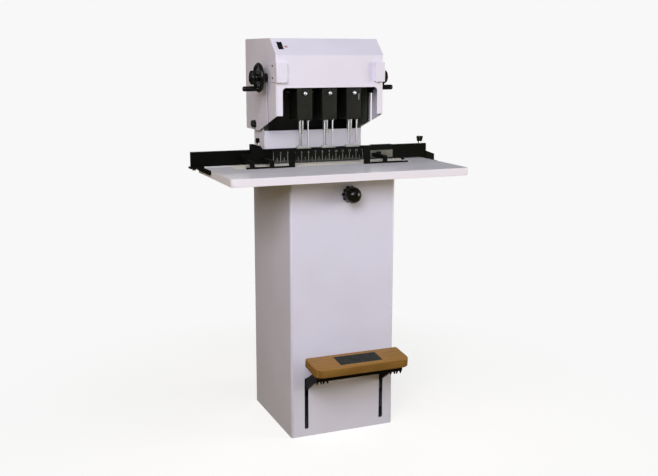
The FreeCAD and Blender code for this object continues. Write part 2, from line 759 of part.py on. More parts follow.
def fence_bar():
    """Straight black bar with a shallow step in its middle for the scale."""
    bar = box(fence_left, fence_right, fence_front, fence_front + fence_thickness, fence_bottom, fence_top)
    step = box(-scale_half_length - 1, scale_half_length - 1, fence_front - 1, fence_front + 3,
               fence_bottom - 1, fence_top + 1)
    return bar.cut(step)


def fence_scale():
    return box(-scale_half_length + 0.5, scale_half_length - 2.5, fence_front + 1.6, fence_front + 3,
               fence_bottom + 1, fence_top - 3)


def end_brackets():
    """Brackets under the fence's ends, with a pad on each rail and a lip outside it."""
    inner = table_width / 2
    outer = inner + rail_thickness
    left = box(fence_left - 3, -outer - 0.3, 24, 58, 893, fence_bottom)
    left = left.fuse(box(-outer - 1, -inner, 24, 58, rail_top + 0.05, fence_bottom))
    left = left.cut(along_z(880, 900, -437, 36, 2.5)).removeSplitter()
    tip = [(outer + 0.3, 882), (449, 882), (449, 909), (fence_right + 0.2, 921), (fence_right + 0.2, fence_bottom),
           (outer + 0.3, fence_bottom)]
    right = plate_xz(tip, 28, 56)
    right = right.fuse(box(inner, outer + 1, 28, 56, rail_top + 0.05, fence_bottom)).removeSplitter()
    return grouped([left, right])


def lock_screw():
    """Knurled screw under the left bracket that locks the fence's depth."""
    profile = [(0, 0), (5.0, 0), (6.5, 1.5), (6.5, 5.5), (0, 5.5)]
    head = turned(profile, V(-437, 36, 887.4), Z)
    return head.fuse(along_z(892.9, 898, -437, 36, 2.4)).removeSplitter()


def lobed_knob(x, y, z, radius, height, lobes):
    """Small knob with round lobes, standing on its stud's place."""
    knob = along_z(z, z + height, x, y, radius * 0.62)
    for lobe in range(lobes):
        angle = math.radians(90 + lobe * 360 / lobes)
        knob = knob.fuse(along_z(z, z + height, x + radius * 0.6 * math.cos(angle),
                                 y + radius * 0.6 * math.sin(angle), radius * 0.4))
    return knob.removeSplitter()


def lock_knob():
    """Three-lobed knob on a bright stud, on top of the fence's right end."""
    x = 390.5
    y = fence_front + 7
    knob = lobed_knob(x, y, fence_top + 7, 14.5, 19.0, 3)
    return knob.fuse(along_z(fence_top + 0.3, fence_top + 7, x, y, 3.5)).removeSplitter()


def guide_body(inner, direction, posts, plate_start, plate_top):
    """Side guide: carriage plate on the fence, arms, posts, foot bar and stop plate."""
    def span(a, b):
        return (inner + direction * a, inner + direction * b) if direction > 0 else \
               (inner + direction * b, inner + direction * a)

    floor = table_top + 0.5
    x0, x1 = span(0, 166)
    body = box(x0, x1, guide_front, guide_front + 8, floor, floor + 5)
    x0, x1 = span(0, 21)
    body = body.fuse(box(x0, x1, guide_front, guide_front + 3, floor, 957.2))
    x0, x1 = span(0, 3)
    body = body.fuse(box(x0, x1, guide_front, guide_front + 8, floor + 5, 950))
    for a, b in posts:
        x0, x1 = span(a, b)
        body = body.fuse(box(x0, x1, guide_front, guide_front + 8, floor, 922))
        body = body.fuse(box(x0, x1, guide_front, fence_front - 0.3, 909.5, 922))
    x0, x1 = span(plate_start, 153)
    return body.fuse(box(x0, x1, fence_front - 5, fence_front - 0.3, 904, plate_top))


def guide_left():
    """Left side guide, with a saddle over the fence and a clamp screw on top."""
    body = guide_body(guide_left_inner, -1, ((72, 86), (139, 153)), 72, 934)
    back = fence_front + fence_thickness
    x0, x1 = -243.5, -203
    low = fence_top + 0.3
    body = body.fuse(box(x0, x1, fence_front - 5, fence_front - 0.3, 930, low))
    saddle = plate_xz([(x0, low), (x0, 966), (-230, 966), (-227, 962.5), (-212, 961), (x1, 948.6), (x1, low)],
                      fence_front - 5, back + 5)
    body = body.fuse(saddle).fuse(box(x0, x1, back + 0.3, back + 5, 920, low))
    return body.cut(along_z(940, 980, guide_clamp_left_x, fence_front + 8, 3.05)).removeSplitter()


def guide_right():
    """Right side guide, hooked over the fence, with a square clamp knob in front and a screw in its foot."""
    body = guide_body(guide_right_inner, 1, ((72, 86),), 66, 943.5)
    back = fence_front + fence_thickness
    top = fence_top + 1.4
    body = body.fuse(box(200, 279, fence_front - 3, fence_front - 0.3, 930, top))
    body = body.fuse(box(200, 279, fence_front - 3, back + 3, fence_top + 0.2, top))
    body = body.fuse(box(200, 279, back + 0.3, back + 3, 925, top))
    foot_x = guide_right_inner + 146.7
    foot_y = guide_front + 4
    body = body.fuse(along_z(901.5, 905, foot_x, foot_y, 2.5)).fuse(along_z(905, 914, foot_x, foot_y, 6.5))
    clamp = along_y(fence_front - 8, fence_front - 0.2, guide_clamp_right_x, guide_clamp_right_z, 2.55)
    return body.cut(clamp).removeSplitter()


def guide_knob_left():
    """Round knob on a bright stud, on the left guide's saddle."""
    x = guide_clamp_left_x
    y = fence_front + 8
    head = turned([(0, 0), (6.2, 0), (7.0, 1.2), (7.0, 13.5), (5.8, 15), (0, 15)], V(x, y, 971), Z)
    return head.fuse(along_z(fence_top + 1, 971, x, y, 3.0)).removeSplitter()


def guide_knob_right():
    """Square clamp knob in front of the right guide's carriage plate."""
    x = guide_clamp_right_x
    z = guide_clamp_right_z
    y = fence_front - 5.2
    head = box(x - 7.8, x + 7.8, y - 9, y, z - 6.8, z + 6.8)
    head = rounded(head, 2.0, Y)
    return head.fuse(along_y(y, y + 4.6, x, z, 2.5)).removeSplitter()


def head_set(name, x, nut):
    save("head_block_" + name, head_block(x, nut))
    save("head_motor_" + name, head_motor(x))
    save("spindle_" + name, spindle(x))
    save("presser_foot_" + name, presser(x))


def wheel_set(name, side):
    save("lead_screw_" + name, lead_screw(side))
    save("handwheel_" + name, handwheel(side))
    save("crank_grip_" + name, crank_grip(side))
    save("cover_thumb_screw_" + name, thumb_screw(side))


os.makedirs("parts", exist_ok=True)
save("cabinet_shell", cabinet_shell())
save("cabinet_base", cabinet_base())
save("cabinet_back", cabinet_back())
save("case_screws", case_screws())
save("bushings", bushings())
save("treadle_bearings", treadle_bearings())
save("lift_posts", lift_posts())
save("lift_yoke", lift_yoke())
save("return_springs", return_springs())
save("table_board", table_board())
save("cutting_strip", cutting_strip())
save("edge_rails", edge_rails())
save("treadle_shaft", treadle_shaft())
save("treadle_frame", treadle_frame())
save("treadle_board", treadle_board())
save("treadle_pad", treadle_pad())
save("treadle_wing_nuts", wing_nuts())
save("treadle_lever", treadle_lever())
save("treadle_roller", treadle_roller())
save("height_knob", height_knob())
save("cam_shaft", cam_shaft())
save("column_casing", column_casing())
save("inner_plates", inner_plates())
save("guide_rods", guide_rods())
save("cover", cover())
save("switch_frame", switch_frame())
save("rocker", rocker())
save("corner_brackets", corner_brackets())
save("chip_chute", chip_chute())
save("chip_bin", chip_bin())
save("power_inlet", power_inlet())
save("fence_bar", fence_bar())
save("fence_scale", fence_scale())
save("fence_end_brackets", end_brackets())
save("fence_lock_screw", lock_screw())
save("fence_lock_knob", lock_knob())
save("side_guide_left", guide_left())
save("side_guide_right", guide_right())
save("guide_knob_left", guide_knob_left())
save("guide_knob_right", guide_knob_right())
wheel_set("left", -1)
wheel_set("right", 1)
head_set("left", head_middle - head_pitch, True)
head_set("centre", head_middle, False)
head_set("right", head_middle + head_pitch, True)
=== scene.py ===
import math

import bmesh
import bpy
import numpy as np
from mathutils import Matrix


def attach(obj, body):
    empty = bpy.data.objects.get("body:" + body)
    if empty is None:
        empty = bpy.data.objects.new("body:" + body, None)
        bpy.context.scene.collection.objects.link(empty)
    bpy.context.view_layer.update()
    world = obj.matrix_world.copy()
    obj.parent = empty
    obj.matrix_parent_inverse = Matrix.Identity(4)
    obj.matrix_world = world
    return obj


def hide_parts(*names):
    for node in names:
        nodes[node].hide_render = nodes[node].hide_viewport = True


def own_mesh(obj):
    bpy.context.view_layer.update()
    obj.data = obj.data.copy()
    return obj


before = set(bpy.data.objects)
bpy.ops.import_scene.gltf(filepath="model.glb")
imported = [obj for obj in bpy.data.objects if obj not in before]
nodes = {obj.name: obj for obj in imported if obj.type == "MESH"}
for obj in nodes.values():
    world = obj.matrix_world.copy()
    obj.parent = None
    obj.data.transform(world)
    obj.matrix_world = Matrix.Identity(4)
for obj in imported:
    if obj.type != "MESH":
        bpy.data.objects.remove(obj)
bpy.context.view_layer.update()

milli = 0.001


def gridFaces(rows, columns, closeRows=False, closeColumns=True):
    # quad corners of a rows x columns grid of points, wrapping round where a direction is closed
    r = np.arange(rows if closeRows else rows - 1)[:, None]
    c = np.arange(columns if closeColumns else columns - 1)[None, :]
    nextR, nextC = (r + 1) % rows, (c + 1) % columns
    quads = [r * columns + c, r * columns + nextC, nextR * columns + nextC, nextR * columns + c]
    return np.stack([np.broadcast_to(q, (len(r), c.shape[1])) for q in quads], -1).reshape(-1, 4)


def cappedFaces(rings, count):
    # quads between open rings of points, with one flat face on the first ring and one on the last
    last = (rings - 1) * count
    return gridFaces(rings, count).tolist() + [list(range(count))[::-1], list(range(last, last + count))]


def joined(shapes):
    # several (points, faces) as one, each face list moved on by the points before it
    points, faces, start = [], [], 0
    for shapePoints, shapeFaces in shapes:
        points.append(np.asarray(shapePoints, float).reshape(-1, 3))
        faces += [[int(i) + start for i in face] for face in shapeFaces]
        start += len(points[-1])
    return np.concatenate(points), faces


def addObject(name, data):
    made = bpy.data.objects.new(name, data)
    bpy.context.scene.collection.objects.link(made)
    return made


def makePiece(name, shape, finish, body, stands=(), slot=None, sharp=32.0):
    # shape is (points in millimetres in the row frame, faces); doubles are merged, faces turned outwards
    points, faces = shape
    mesh = bpy.data.meshes.new(name)
    mesh.from_pydata((np.asarray(points, float).reshape(-1, 3) * milli).tolist(), [],
                     [[int(i) for i in face] for face in faces])
    work = bmesh.new()
    work.from_mesh(mesh)
    bmesh.ops.remove_doubles(work, verts=work.verts, dist=2e-6)
    bmesh.ops.dissolve_degenerate(work, edges=work.edges, dist=1e-6)
    bmesh.ops.recalc_face_normals(work, faces=work.faces)
    work.to_mesh(mesh)
    work.free()
    mesh.shade_smooth()
    mesh.set_sharp_from_angle(angle=math.radians(sharp))
    mesh.materials.append(finish)
    piece = addObject(name, mesh)
    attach(piece, body)
    if stands:
        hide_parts(*stands)
    return piece


def softCorners(corners, radii, steps=6):
    # each corner of a closed outline becomes a quadratic curve between points one radius from it
    corners = np.asarray(corners, float)
    radii = np.broadcast_to(np.asarray(radii, float), len(corners))[:, None]
    toLast, toNext = np.roll(corners, 1, 0) - corners, np.roll(corners, -1, 0) - corners
    lastLength = np.linalg.norm(toLast, axis=1, keepdims=True)
    nextLength = np.linalg.norm(toNext, axis=1, keepdims=True)
    begin = corners + toLast / lastLength * np.minimum(radii, lastLength * 0.49)
    end = corners + toNext / nextLength * np.minimum(radii, nextLength * 0.49)
    s = np.linspace(0, 1, steps)[None, :, None]
    curve = (1 - s) ** 2 * begin[:, None] + 2 * s * (1 - s) * corners[:, None] + s ** 2 * end[:, None]
    return curve.reshape(-1, 2)


def rectangle(x0, x1, y0, y1):
    return [(x0, y0), (x1, y0), (x1, y1), (x0, y1)]


def insetOutline(outline, distance):
    # each point moves in along the mean of its two edges' normals, further at corners to keep edges parallel
    edge = np.roll(outline, -1, 0) - outline
    edge = edge / np.maximum(np.linalg.norm(edge, axis=1, keepdims=True), 1e-9)
    normal = np.stack([-edge[:, 1], edge[:, 0]], 1)
    before = np.roll(normal, 1, 0)
    share = np.maximum(1 + (normal * before).sum(1, keepdims=True), 0.3)
    return outline + (normal + before) / share * distance


def slabForm(outline, low, high, edge, steps=4):
    # an outline carried from low to high; rings near both ends are inset by edge*(1-sin a), to round them
    outline = np.asarray(outline, float)
    area = (outline[:, 0] * np.roll(outline[:, 1], -1) - outline[:, 1] * np.roll(outline[:, 0], -1)).sum()
    if area < 0:
        outline = outline[::-1]
    angle = np.linspace(0, math.pi / 2, steps)
    inset = edge * (1 - np.sin(angle))
    insets = np.concatenate([inset, inset[::-1]])
    heights = np.concatenate([low + edge - edge * np.cos(angle), high - edge + edge * np.cos(angle[::-1])])
    rings = np.stack([np.column_stack([insetOutline(outline, d), np.full(len(outline), h)])
                      for d, h in zip(insets, heights)])
    return rings.reshape(-1, 3), cappedFaces(len(insets), len(outline))


def uprightSlab(outlineXZ, front, back, edge):
    # a slab whose outline lies in the XZ plane and whose thickness runs along Y
    points, faces = slabForm(outlineXZ, front, back, edge)
    return points[:, [0, 2, 1]], faces


def anglesRound(sides):
    return np.arange(sides) * 2 * math.pi / sides


def ringPoints(radius, height, sides):
    # rings about Z, one for each row of radius and height; a radius may also change with the angle
    radius, height, angle = np.broadcast_arrays(radius, height, anglesRound(sides))
    return np.stack([radius * np.cos(angle), radius * np.sin(angle), height], -1).reshape(-1, 3)


def turnedForm(profile, sides=48, flutes=0, depth=0.0, fluted=(0, 0)):
    # radius and height turned about Z; between two heights depth*(1-cos(flutes*angle))/2 is cut away
    profile = np.asarray(profile, float)
    radius, height = profile[:, :1], profile[:, 1:2]
    if flutes:
        inside = (height >= fluted[0]) & (height <= fluted[1])
        radius = radius - inside * depth * (1 - np.cos(flutes * anglesRound(sides))) / 2
    faces = cappedFaces(len(profile), sides)
    ends = (profile[0, 0] > 0, profile[-1, 0] > 0)  # an end that reaches the axis is closed already
    faces = faces[:-2] + [face for face, isOpen in zip(faces[-2:], ends) if isOpen]
    return ringPoints(radius, height, sides), faces


def ringForm(profile, sides=48):
    # a closed loop of radius and height turned about Z, such as a tube or a washer
    profile = np.asarray(profile, float)
    return ringPoints(profile[:, :1], profile[:, 1:2], sides), gridFaces(len(profile), sides, closeRows=True)


def softProfile(profile, radius, steps=4):
    # an open profile with its inner corners softened and its two ends kept
    profile = np.asarray(profile, float)
    soft = softCorners(profile, radius, steps)
    return np.concatenate([profile[:1], soft[steps:-steps], profile[-1:]])


def sweptForm(section, path):
    # a closed section carried along a path; at each point it lies across the path, kept upright to Z or X
    path, section = np.asarray(path, float), np.asarray(section, float)
    along = np.gradient(path, axis=0)
    along /= np.linalg.norm(along, axis=1, keepdims=True)
    up = np.where(np.abs(along[:, 2:3]) > 0.9, np.array([[1.0, 0, 0]]), np.array([[0, 0, 1.0]]))
    side = np.cross(along, up)
    side /= np.linalg.norm(side, axis=1, keepdims=True)
    top = np.cross(side, along)
    points = path[:, None] + side[:, None] * section[None, :, :1] + top[:, None] * section[None, :, 1:]
    return points.reshape(-1, 3), cappedFaces(len(path), len(section))


def circleSection(radius, sides=12):
    angle = anglesRound(sides)
    return np.column_stack([radius * np.cos(angle), radius * np.sin(angle)])


def placed(shape, place=(0, 0, 0), zTo=(0, 0, 1), spin=0.0):
    # turns a shape made on Z so that its Z points along zTo, then moves it to its place
    points = np.asarray(shape[0], float).reshape(-1, 3)
    c, s = math.cos(math.radians(spin)), math.sin(math.radians(spin))
    points = points @ np.array([[c, s, 0], [-s, c, 0], [0, 0, 1.0]])
    z = np.asarray(zTo, float) / np.linalg.norm(zTo)
    x = np.cross((0, 1.0, 0) if abs(z[1]) < 0.9 else (0, 0, 1.0), z)
    x /= np.linalg.norm(x)
    return points @ np.stack([x, np.cross(z, x), z]) + np.asarray(place, float), shape[1]


def mirroredForm(shape):
    return np.asarray(shape[0], float).reshape(-1, 3) * (-1, 1, 1), shape[1]


def tilted(shape, place, degrees):
    # a shape whose Y runs back and Z up, turned about X and set at its place
    a = math.radians(degrees)
    turn = np.array([[1, 0, 0], [0, math.cos(a), math.sin(a)], [0, -math.sin(a), math.cos(a)]])
    return np.asarray(shape[0], float).reshape(-1, 3) @ turn + np.asarray(place, float), shape[1]


def toLinear(hexCode):
    # sRGB hex to linear red, green and blue, with full alpha
    parts = np.array([int(hexCode[i:i + 2], 16) for i in (1, 3, 5)]) / 255
    return (*np.where(parts <= 0.04045, parts / 12.92, ((parts + 0.055) / 1.055) ** 2.4).tolist(), 1.0)


def fillInputs(tree, node, inputs):
    # an input given as a socket is linked, and any other becomes the input's value
    for key, value in inputs.items():
        if isinstance(value, bpy.types.NodeSocket):
            tree.links.new(value, node.inputs[key])
        else:
            node.inputs[key].default_value = value


def addNode(tree, kind, settings=None, inputs=None, out=0):
    # adds a node with its settings and links, and hands back one of its outputs
    node = tree.nodes.new("ShaderNode" + kind)
    for key, value in (settings or {}).items():
        setattr(node, key, value)
    fillInputs(tree, node, inputs or {})
    return node.outputs[out] if len(node.outputs) else node


colourMix = {"data_type": "RGBA"}  # a mix of colours: input 0 is the share, 6 the first colour, 7 the second
multiply = {"operation": "MULTIPLY"}
absolute = {"operation": "ABSOLUTE"}


def startFinish(name):
    finish = bpy.data.materials.new(name)
    finish.use_nodes = True
    tree = finish.node_tree
    return finish, tree, tree.nodes["Principled BSDF"], addNode(tree, "TexCoord", out="Object")


def mottle(tree, place, sizeMm, detail=3.0, stretch=(1, 1, 1)):
    # grains about sizeMm across, drawn out along an axis where stretch is above 1
    shrunk = tuple(1 / s for s in stretch)
    mapped = addNode(tree, "Mapping", inputs={"Scale": shrunk, "Vector": place})
    return addNode(tree, "TexNoise", inputs={"Scale": 1000 / sizeMm, "Detail": detail, "Vector": mapped},
                   out="Fac")


def twoColours(tree, pattern, low, high, dark, light):
    # dark where the pattern is under low, light where it is over high, and an even blend between them
    share = addNode(tree, "MapRange", inputs={"Value": pattern, "From Min": low, "From Max": high})
    return addNode(tree, "Mix", colourMix, {0: share, 6: toLinear(dark), 7: toLinear(light)}, 2)


def edgeMask(tree, radiusMm):
    # 0 on flats and 1 on sharp bends: one minus the dot of the face's normal and a rounded edge's normal
    soft = addNode(tree, "Bevel", {"samples": 4}, {"Radius": radiusMm * milli})
    plain = addNode(tree, "NewGeometry", out="Normal")
    dot = addNode(tree, "VectorMath", {"operation": "DOT_PRODUCT"}, {0: soft, 1: plain}, "Value")
    return addNode(tree, "MapRange", inputs={"Value": dot, "From Min": 0.995, "From Max": 0.86})


def boxMask(tree, place, half, front, low):
    # 1 within half of the middle plane, behind the front plane and above the low one, in millimetres
    x, y, z = addNode(tree, "SeparateXYZ", inputs={0: place}).node.outputs
    across = addNode(tree, "Math", absolute, {0: x})
    mask = 1.0
    for source, edge, soft in ((across, half, -0.2), (y, front, 0.2), (z, low, 0.2)):
        part = addNode(tree, "MapRange", inputs={"Value": source, "From Min": (edge - soft) * milli,
                                                 "From Max": (edge + soft) * milli})
        mask = addNode(tree, "Math", multiply, {0: part, 1: mask})
    return mask


def coatedFinish(name, light, dark, grainMm, bumpMm, roughness, patchMm=180.0, coat=0.0, worn=None,
                 spread=0.06, shine=0.5, masked=()):
    # a paint or moulded plastic: two close colours in broad patches, a fine grain, and rougher places
    finish, tree, shader, place = startFinish(name)
    colour = twoColours(tree, mottle(tree, place, patchMm, 2.0), 0.35, 0.65, dark, light)
    # each masked box is painted over in its own colour; the finishes use these boxes for painted light and
    # painted shade
    for inside, *box in masked:
        shares = {0: boxMask(tree, place, *box), 6: colour, 7: toLinear(inside)}
        colour = addNode(tree, "Mix", colourMix, shares, 2)
    if worn:
        rubbed = {0: edgeMask(tree, 0.9), 1: mottle(tree, place, 6.0, 4.0)}
        shares = {0: addNode(tree, "Math", multiply, rubbed), 6: colour, 7: toLinear(worn)}
        colour = addNode(tree, "Mix", colourMix, shares, 2)
    rough = addNode(tree, "MapRange", inputs={"Value": mottle(tree, place, 25.0),
                                              "To Min": roughness - spread, "To Max": roughness + spread})
    bump = addNode(tree, "Bump", inputs={"Height": mottle(tree, place, grainMm, 2.0), "Strength": 1.0,
                                         "Distance": bumpMm * milli})
    fillInputs(tree, shader, {"Base Color": colour, "Roughness": rough, "Normal": bump, "Coat Weight": coat,
                              "Coat Roughness": 0.08, "Specular IOR Level": shine})
    return finish


def metalFinish(name, light, dark, roughness, streakMm=0.6, stretch=(1, 1, 1), bumpMm=0.004):
    # bare metal: streaks left by its making set small changes of colour and roughness along one direction
    finish, tree, shader, place = startFinish(name)
    streaks = mottle(tree, place, streakMm, 3.0, stretch)
    rough = addNode(tree, "MapRange", inputs={"Value": streaks, "To Min": roughness * 0.75,
                                              "To Max": roughness * 1.25})
    bump = addNode(tree, "Bump", inputs={"Height": streaks, "Strength": 0.6, "Distance": bumpMm * milli})
    fillInputs(tree, shader, {"Base Color": twoColours(tree, streaks, 0.3, 0.7, dark, light),
                              "Roughness": rough, "Metallic": 1.0, "Normal": bump})
    return finish


def twoToneFinish(name, top, low, edge, shine=0.4):
    # a smooth sheet with faint patches on its flats, and its cut edge in another tone where it looks sideways
    finish, tree, shader, place = startFinish(name)
    normal = addNode(tree, "TexCoord", out="Normal")
    upward = addNode(tree, "SeparateXYZ", inputs={0: normal}, out="Z")
    flat = addNode(tree, "MapRange", inputs={
        "Value": addNode(tree, "Math", absolute, {0: upward}), "From Min": 0.35, "From Max": 0.75})
    faint = twoColours(tree, mottle(tree, place, 90.0), 0.3, 0.7, low, top)
    colour = addNode(tree, "Mix", colourMix, {0: flat, 6: toLinear(edge), 7: faint}, 2)
    rubbed = mottle(tree, place, 40.0, 4.0, (4, 1, 1))
    rough = addNode(tree, "MapRange", inputs={"Value": rubbed, "To Min": 0.26, "To Max": 0.42})
    bump = addNode(tree, "Bump", inputs={"Height": mottle(tree, place, 1.5, 2.0), "Strength": 0.5,
                                         "Distance": 0.02 * milli})
    fillInputs(tree, shader, {"Base Color": colour, "Roughness": rough, "Normal": bump,
                              "Specular IOR Level": shine})
    return finish


def oakFinish(name, light, middle, dark):
    # flat-sawn oak under varnish: long wavy growth rings along X, and dark pores 9 mm long the same way
    finish, tree, shader, place = startFinish(name)
    bend = mottle(tree, place, 120.0, 2.0, (3, 1, 1))
    shift = addNode(tree, "CombineXYZ", inputs={"Y": bend, "Z": bend})
    moved = addNode(tree, "VectorMath", {"operation": "MULTIPLY_ADD"},
                    {0: shift, 1: (0.03, 0.03, 0.03), 2: place})
    drawn = addNode(tree, "Mapping", inputs={"Scale": (0.12, 1.0, 0.8), "Vector": moved})
    rings = addNode(tree, "TexWave", {"wave_type": "BANDS", "bands_direction": "Y"},
                    {"Scale": 28.0, "Distortion": 5.0, "Detail": 3.0, "Detail Scale": 1.4, "Vector": drawn},
                    "Fac")
    colour = twoColours(tree, rings, 0.15, 0.9, middle, light)
    pores = mottle(tree, place, 0.9, 2.0, (10, 1, 1))
    blotches = mottle(tree, place, 60.0, 3.0, (2, 1, 1))
    upward = addNode(tree, "SeparateXYZ", inputs={0: addNode(tree, "TexCoord", out="Normal")}, out="Z")
    layers = (  # pattern, its level at no cover and at most cover, the most cover, colour
        (pores, 0.60, 0.70, 0.75, dark), (blotches, 0.35, 0.70, 0.45, middle),
        (edgeMask(tree, 2.5), 0.0, 1.0, 0.5, dark), (upward, 0.6, 0.2, 0.35, dark))
    # the last layer darkens the faces that look sideways: painted shade, so the front and sides read darker
    # than the lit top
    for pattern, none, most, cover, laid in layers:
        share = addNode(tree, "MapRange", inputs={"Value": pattern, "From Min": none, "From Max": most,
                                                  "To Max": cover})
        colour = addNode(tree, "Mix", colourMix, {0: share, 6: colour, 7: toLinear(laid)}, 2)
    bump = addNode(tree, "Bump", inputs={"Height": pores, "Strength": 0.5, "Distance": 0.05 * milli})
    fillInputs(tree, shader, {"Base Color": colour, "Normal": bump, "Roughness": 0.5, "Coat Weight": 0.05,
                              "Coat Roughness": 0.25, "Specular IOR Level": 0.2})
    return finish


# powder coat on bent steel: a soft half gloss, with its orange peel drawn 1.6 mm wide so that it shows
cabinetCoat = coatedFinish("powderCoatedSteelCabinet", "#dcdcf7", "#d8d8f1", 1.6, 0.03, 0.45)
# the column's pale paint is darkened inside its open top as painted shade: grey green on the rim round the
# opening, and nearly black behind
columnCoatPaintedShade = coatedFinish("powderCoatedSteelColumnWithPaintedShade", "#e6e4f8", "#e1dff2", 1.6, 0.03, 0.45,
                          masked=(("#3b4038", 180.5, 76.0, 1006.0), ("#0b0c0a", 180.5, 79.0, 990.0)))
coverCoat = coatedFinish("powderCoatedSteelCover", "#e4e1f4", "#dfdcf0", 1.6, 0.03, 0.42)
# machine paint: duller, over rougher metal
greyCoat = coatedFinish("greyPaintedSteel", "#7c7e82", "#707276", 1.8, 0.04, 0.5)
# black paint on cut bar, rubbed grey along its edges
blackCoat = coatedFinish("blackPaintedSteel", "#070806", "#060705", 1.4, 0.03, 0.5, 90.0, worn="#30312f",
                         shine=0.1)
# anodised aluminium: an even, flat tone with hardly any grain
fenceCoat = coatedFinish("blackAnodisedAluminium", "#060705", "#040503", 1.0, 0.01, 0.38, 120.0,
                         worn="#1c1d1a", shine=0.1)
plateCoat = coatedFinish("greyAnodisedAluminium", "#6a6863", "#5a5853", 1.0, 0.01, 0.40, 40.0)
# dark painted sheet inside the column: a grey green band beside its opening is painted light, and the part
# behind is made darker still as painted shade
innerCoatPaintedLightAndShade = coatedFinish("darkSheetWithPaintedLightAndShade", "#0d0e0c", "#0a0b09", 1.4, 0.03, 0.45, 60.0, shine=0.3,
                         masked=(("#666e62", 181.3, 31.0, 1010.0), ("#070806", 180.5, 79.0, 990.0)))
# compression-moulded phenolic: deep black with small sharp highlights
phenolic = coatedFinish("mouldedBlackPhenolic", "#0a0b09", "#070806", 2.5, 0.02, 0.2, 30.0, coat=0.06,
                        spread=0.04, shine=0.25)
# injection-moulded plastic with an eroded grain, drawn 0.9 mm wide so that it shows
blackPlastic = coatedFinish("mouldedBlackAbs", "#0e0f0f", "#0a0b0b", 0.9, 0.03, 0.42, 30.0, shine=0.3)
# texture paint on castings: a pebbled charcoal, lighter along the edges
castCoat = coatedFinish("charcoalCoatedCasting", "#222321", "#1b1c1a", 1.1, 0.10, 0.55, 30.0,
                        worn="#4a4b4a", shine=0.2)
# the casting under its front plate takes a near-black copy of the charcoal paint: painted shade on its sides,
# which look away from the light
castPaintedShade = coatedFinish("charcoalCastingPaintedShade", "#0a0b09", "#070806", 1.1, 0.10, 0.55, 30.0, shine=0.2)
# moulded rubber: dull, with a bloom of dust
rubber = coatedFinish("ribbedRubberMat", "#2c302e", "#232725", 0.8, 0.08, 0.75, 20.0, shine=0.3)
# sawn nylon plate: milky flats and greyer cut edges
nylon = twoToneFinish("naturalNylon", "#dfdee3", "#d2d1d6", "#8f958b")
# extruded polyethylene: a waxy white
stripPlastic = coatedFinish("cuttingStripPolyethylene", "#fdfaf2", "#f5f2ea", 1.2, 0.03, 0.48, 60.0)
# printed film and inks: thin, flat and even
labelFilm = coatedFinish("paleLabelFilm", "#c98f99", "#bf8590", 1.0, 0.005, 0.3, 10.0)
markPaint = coatedFinish("whiteMarkingPaint", "#a4a6a1", "#959792", 0.6, 0.01, 0.5, 12.0)
scalePlate = coatedFinish("blackPrintedScale", "#0a0c09", "#070806", 0.8, 0.01, 0.36, 30.0, shine=0.2)
# plated steel: a clear mirror, and a satin one with a broad highlight
chrome = metalFinish("chromePlatedSteel", "#eaeaed", "#e0e0e4", 0.16, 3.0, (1, 1, 4), 0.0001)
satinChrome = metalFinish("satinChromePlatedSteel", "#e4e6f6", "#dadcec", 0.36, 3.0, (1, 1, 4), 0.0001)
# turned and ground steels: fine tool marks, drawn half a millimetre wide or more so that they show
brushedSteel = metalFinish("brushedToolSteel", "#a4a6b0", "#8c8e98", 0.34, 0.8, (6, 6, 1), 0.001)
groundSteel = metalFinish("groundSteel", "#a9aaad", "#8e9094", 0.28, 0.5)
springSteel = metalFinish("springSteelWire", "#8d8e92", "#77787c", 0.32, 0.8)
# zinc with a faint spangle, a dark oxide on small screws, and porous bronze
zincSteel = metalFinish("zincPlatedSteel", "#b7b8b6", "#9c9e9c", 0.38, 4.0)
screwSteel = metalFinish("blackOxideSteel", "#26262c", "#1b1b20", 0.42, 4.0)
bronze = metalFinish("sinteredBronze", "#a98753", "#8f7044", 0.42, 0.7)
# pressed melamine laminate: a smooth off-white with a brighter edge band
laminate = twoToneFinish("whiteLaminateBoard", "#e2e2ec", "#dadae4", "#ebe8f8", 0.15)
# planed and varnished oak: warm brown with dark pores, darker along its edges, and darker on its front and
# sides as painted shade
oak = oakFinish("varnishedOak", "#a67b40", "#8f6831", "#4e3c1a")
print("finishes made")


dressed = {  # node: finish and the width in millimetres of its softened edges
    "cabinet_shell": (cabinetCoat, 0.6), "cabinet_base": (greyCoat, 0.4), "cabinet_back": (cabinetCoat, 0.3),
    "column_casing": (columnCoatPaintedShade, 0.4), "cover": (coverCoat, 0.7), "corner_brackets": (coverCoat, 0.5),
    "inner_plates": (innerCoatPaintedLightAndShade, 0.4), "guide_rods": (chrome, 0.4), "chip_chute": (zincSteel, 0.3),
    "chip_bin": (greyCoat, 0.3), "bushings": (bronze, 0.3), "treadle_bearings": (greyCoat, 0.8),
    "switch_frame": (blackPlastic, 0.3), "rocker": (phenolic, 0.3), "power_inlet": (blackPlastic, 0.3),
    "head_motor_left": (greyCoat, 0.8), "head_motor_centre": (greyCoat, 0.8),
    "head_motor_right": (greyCoat, 0.8), "table_board": (laminate, 1.0), "cutting_strip": (stripPlastic, 0.3),
    "edge_rails": (blackCoat, 0.5), "lift_posts": (chrome, 0.5), "lift_yoke": (greyCoat, 1.0),
    "treadle_shaft": (groundSteel, 0.5), "treadle_frame": (blackCoat, 0.8), "treadle_lever": (blackCoat, 0.8),
    "treadle_roller": (groundSteel, 0.5), "cam_shaft": (groundSteel, 0.4), "fence_bar": (fenceCoat, 0.5),
    "fence_scale": (scalePlate, 0.1), "fence_end_brackets": (blackCoat, 0.5),
    "side_guide_left": (blackCoat, 0.4), "side_guide_right": (blackCoat, 0.4),
}


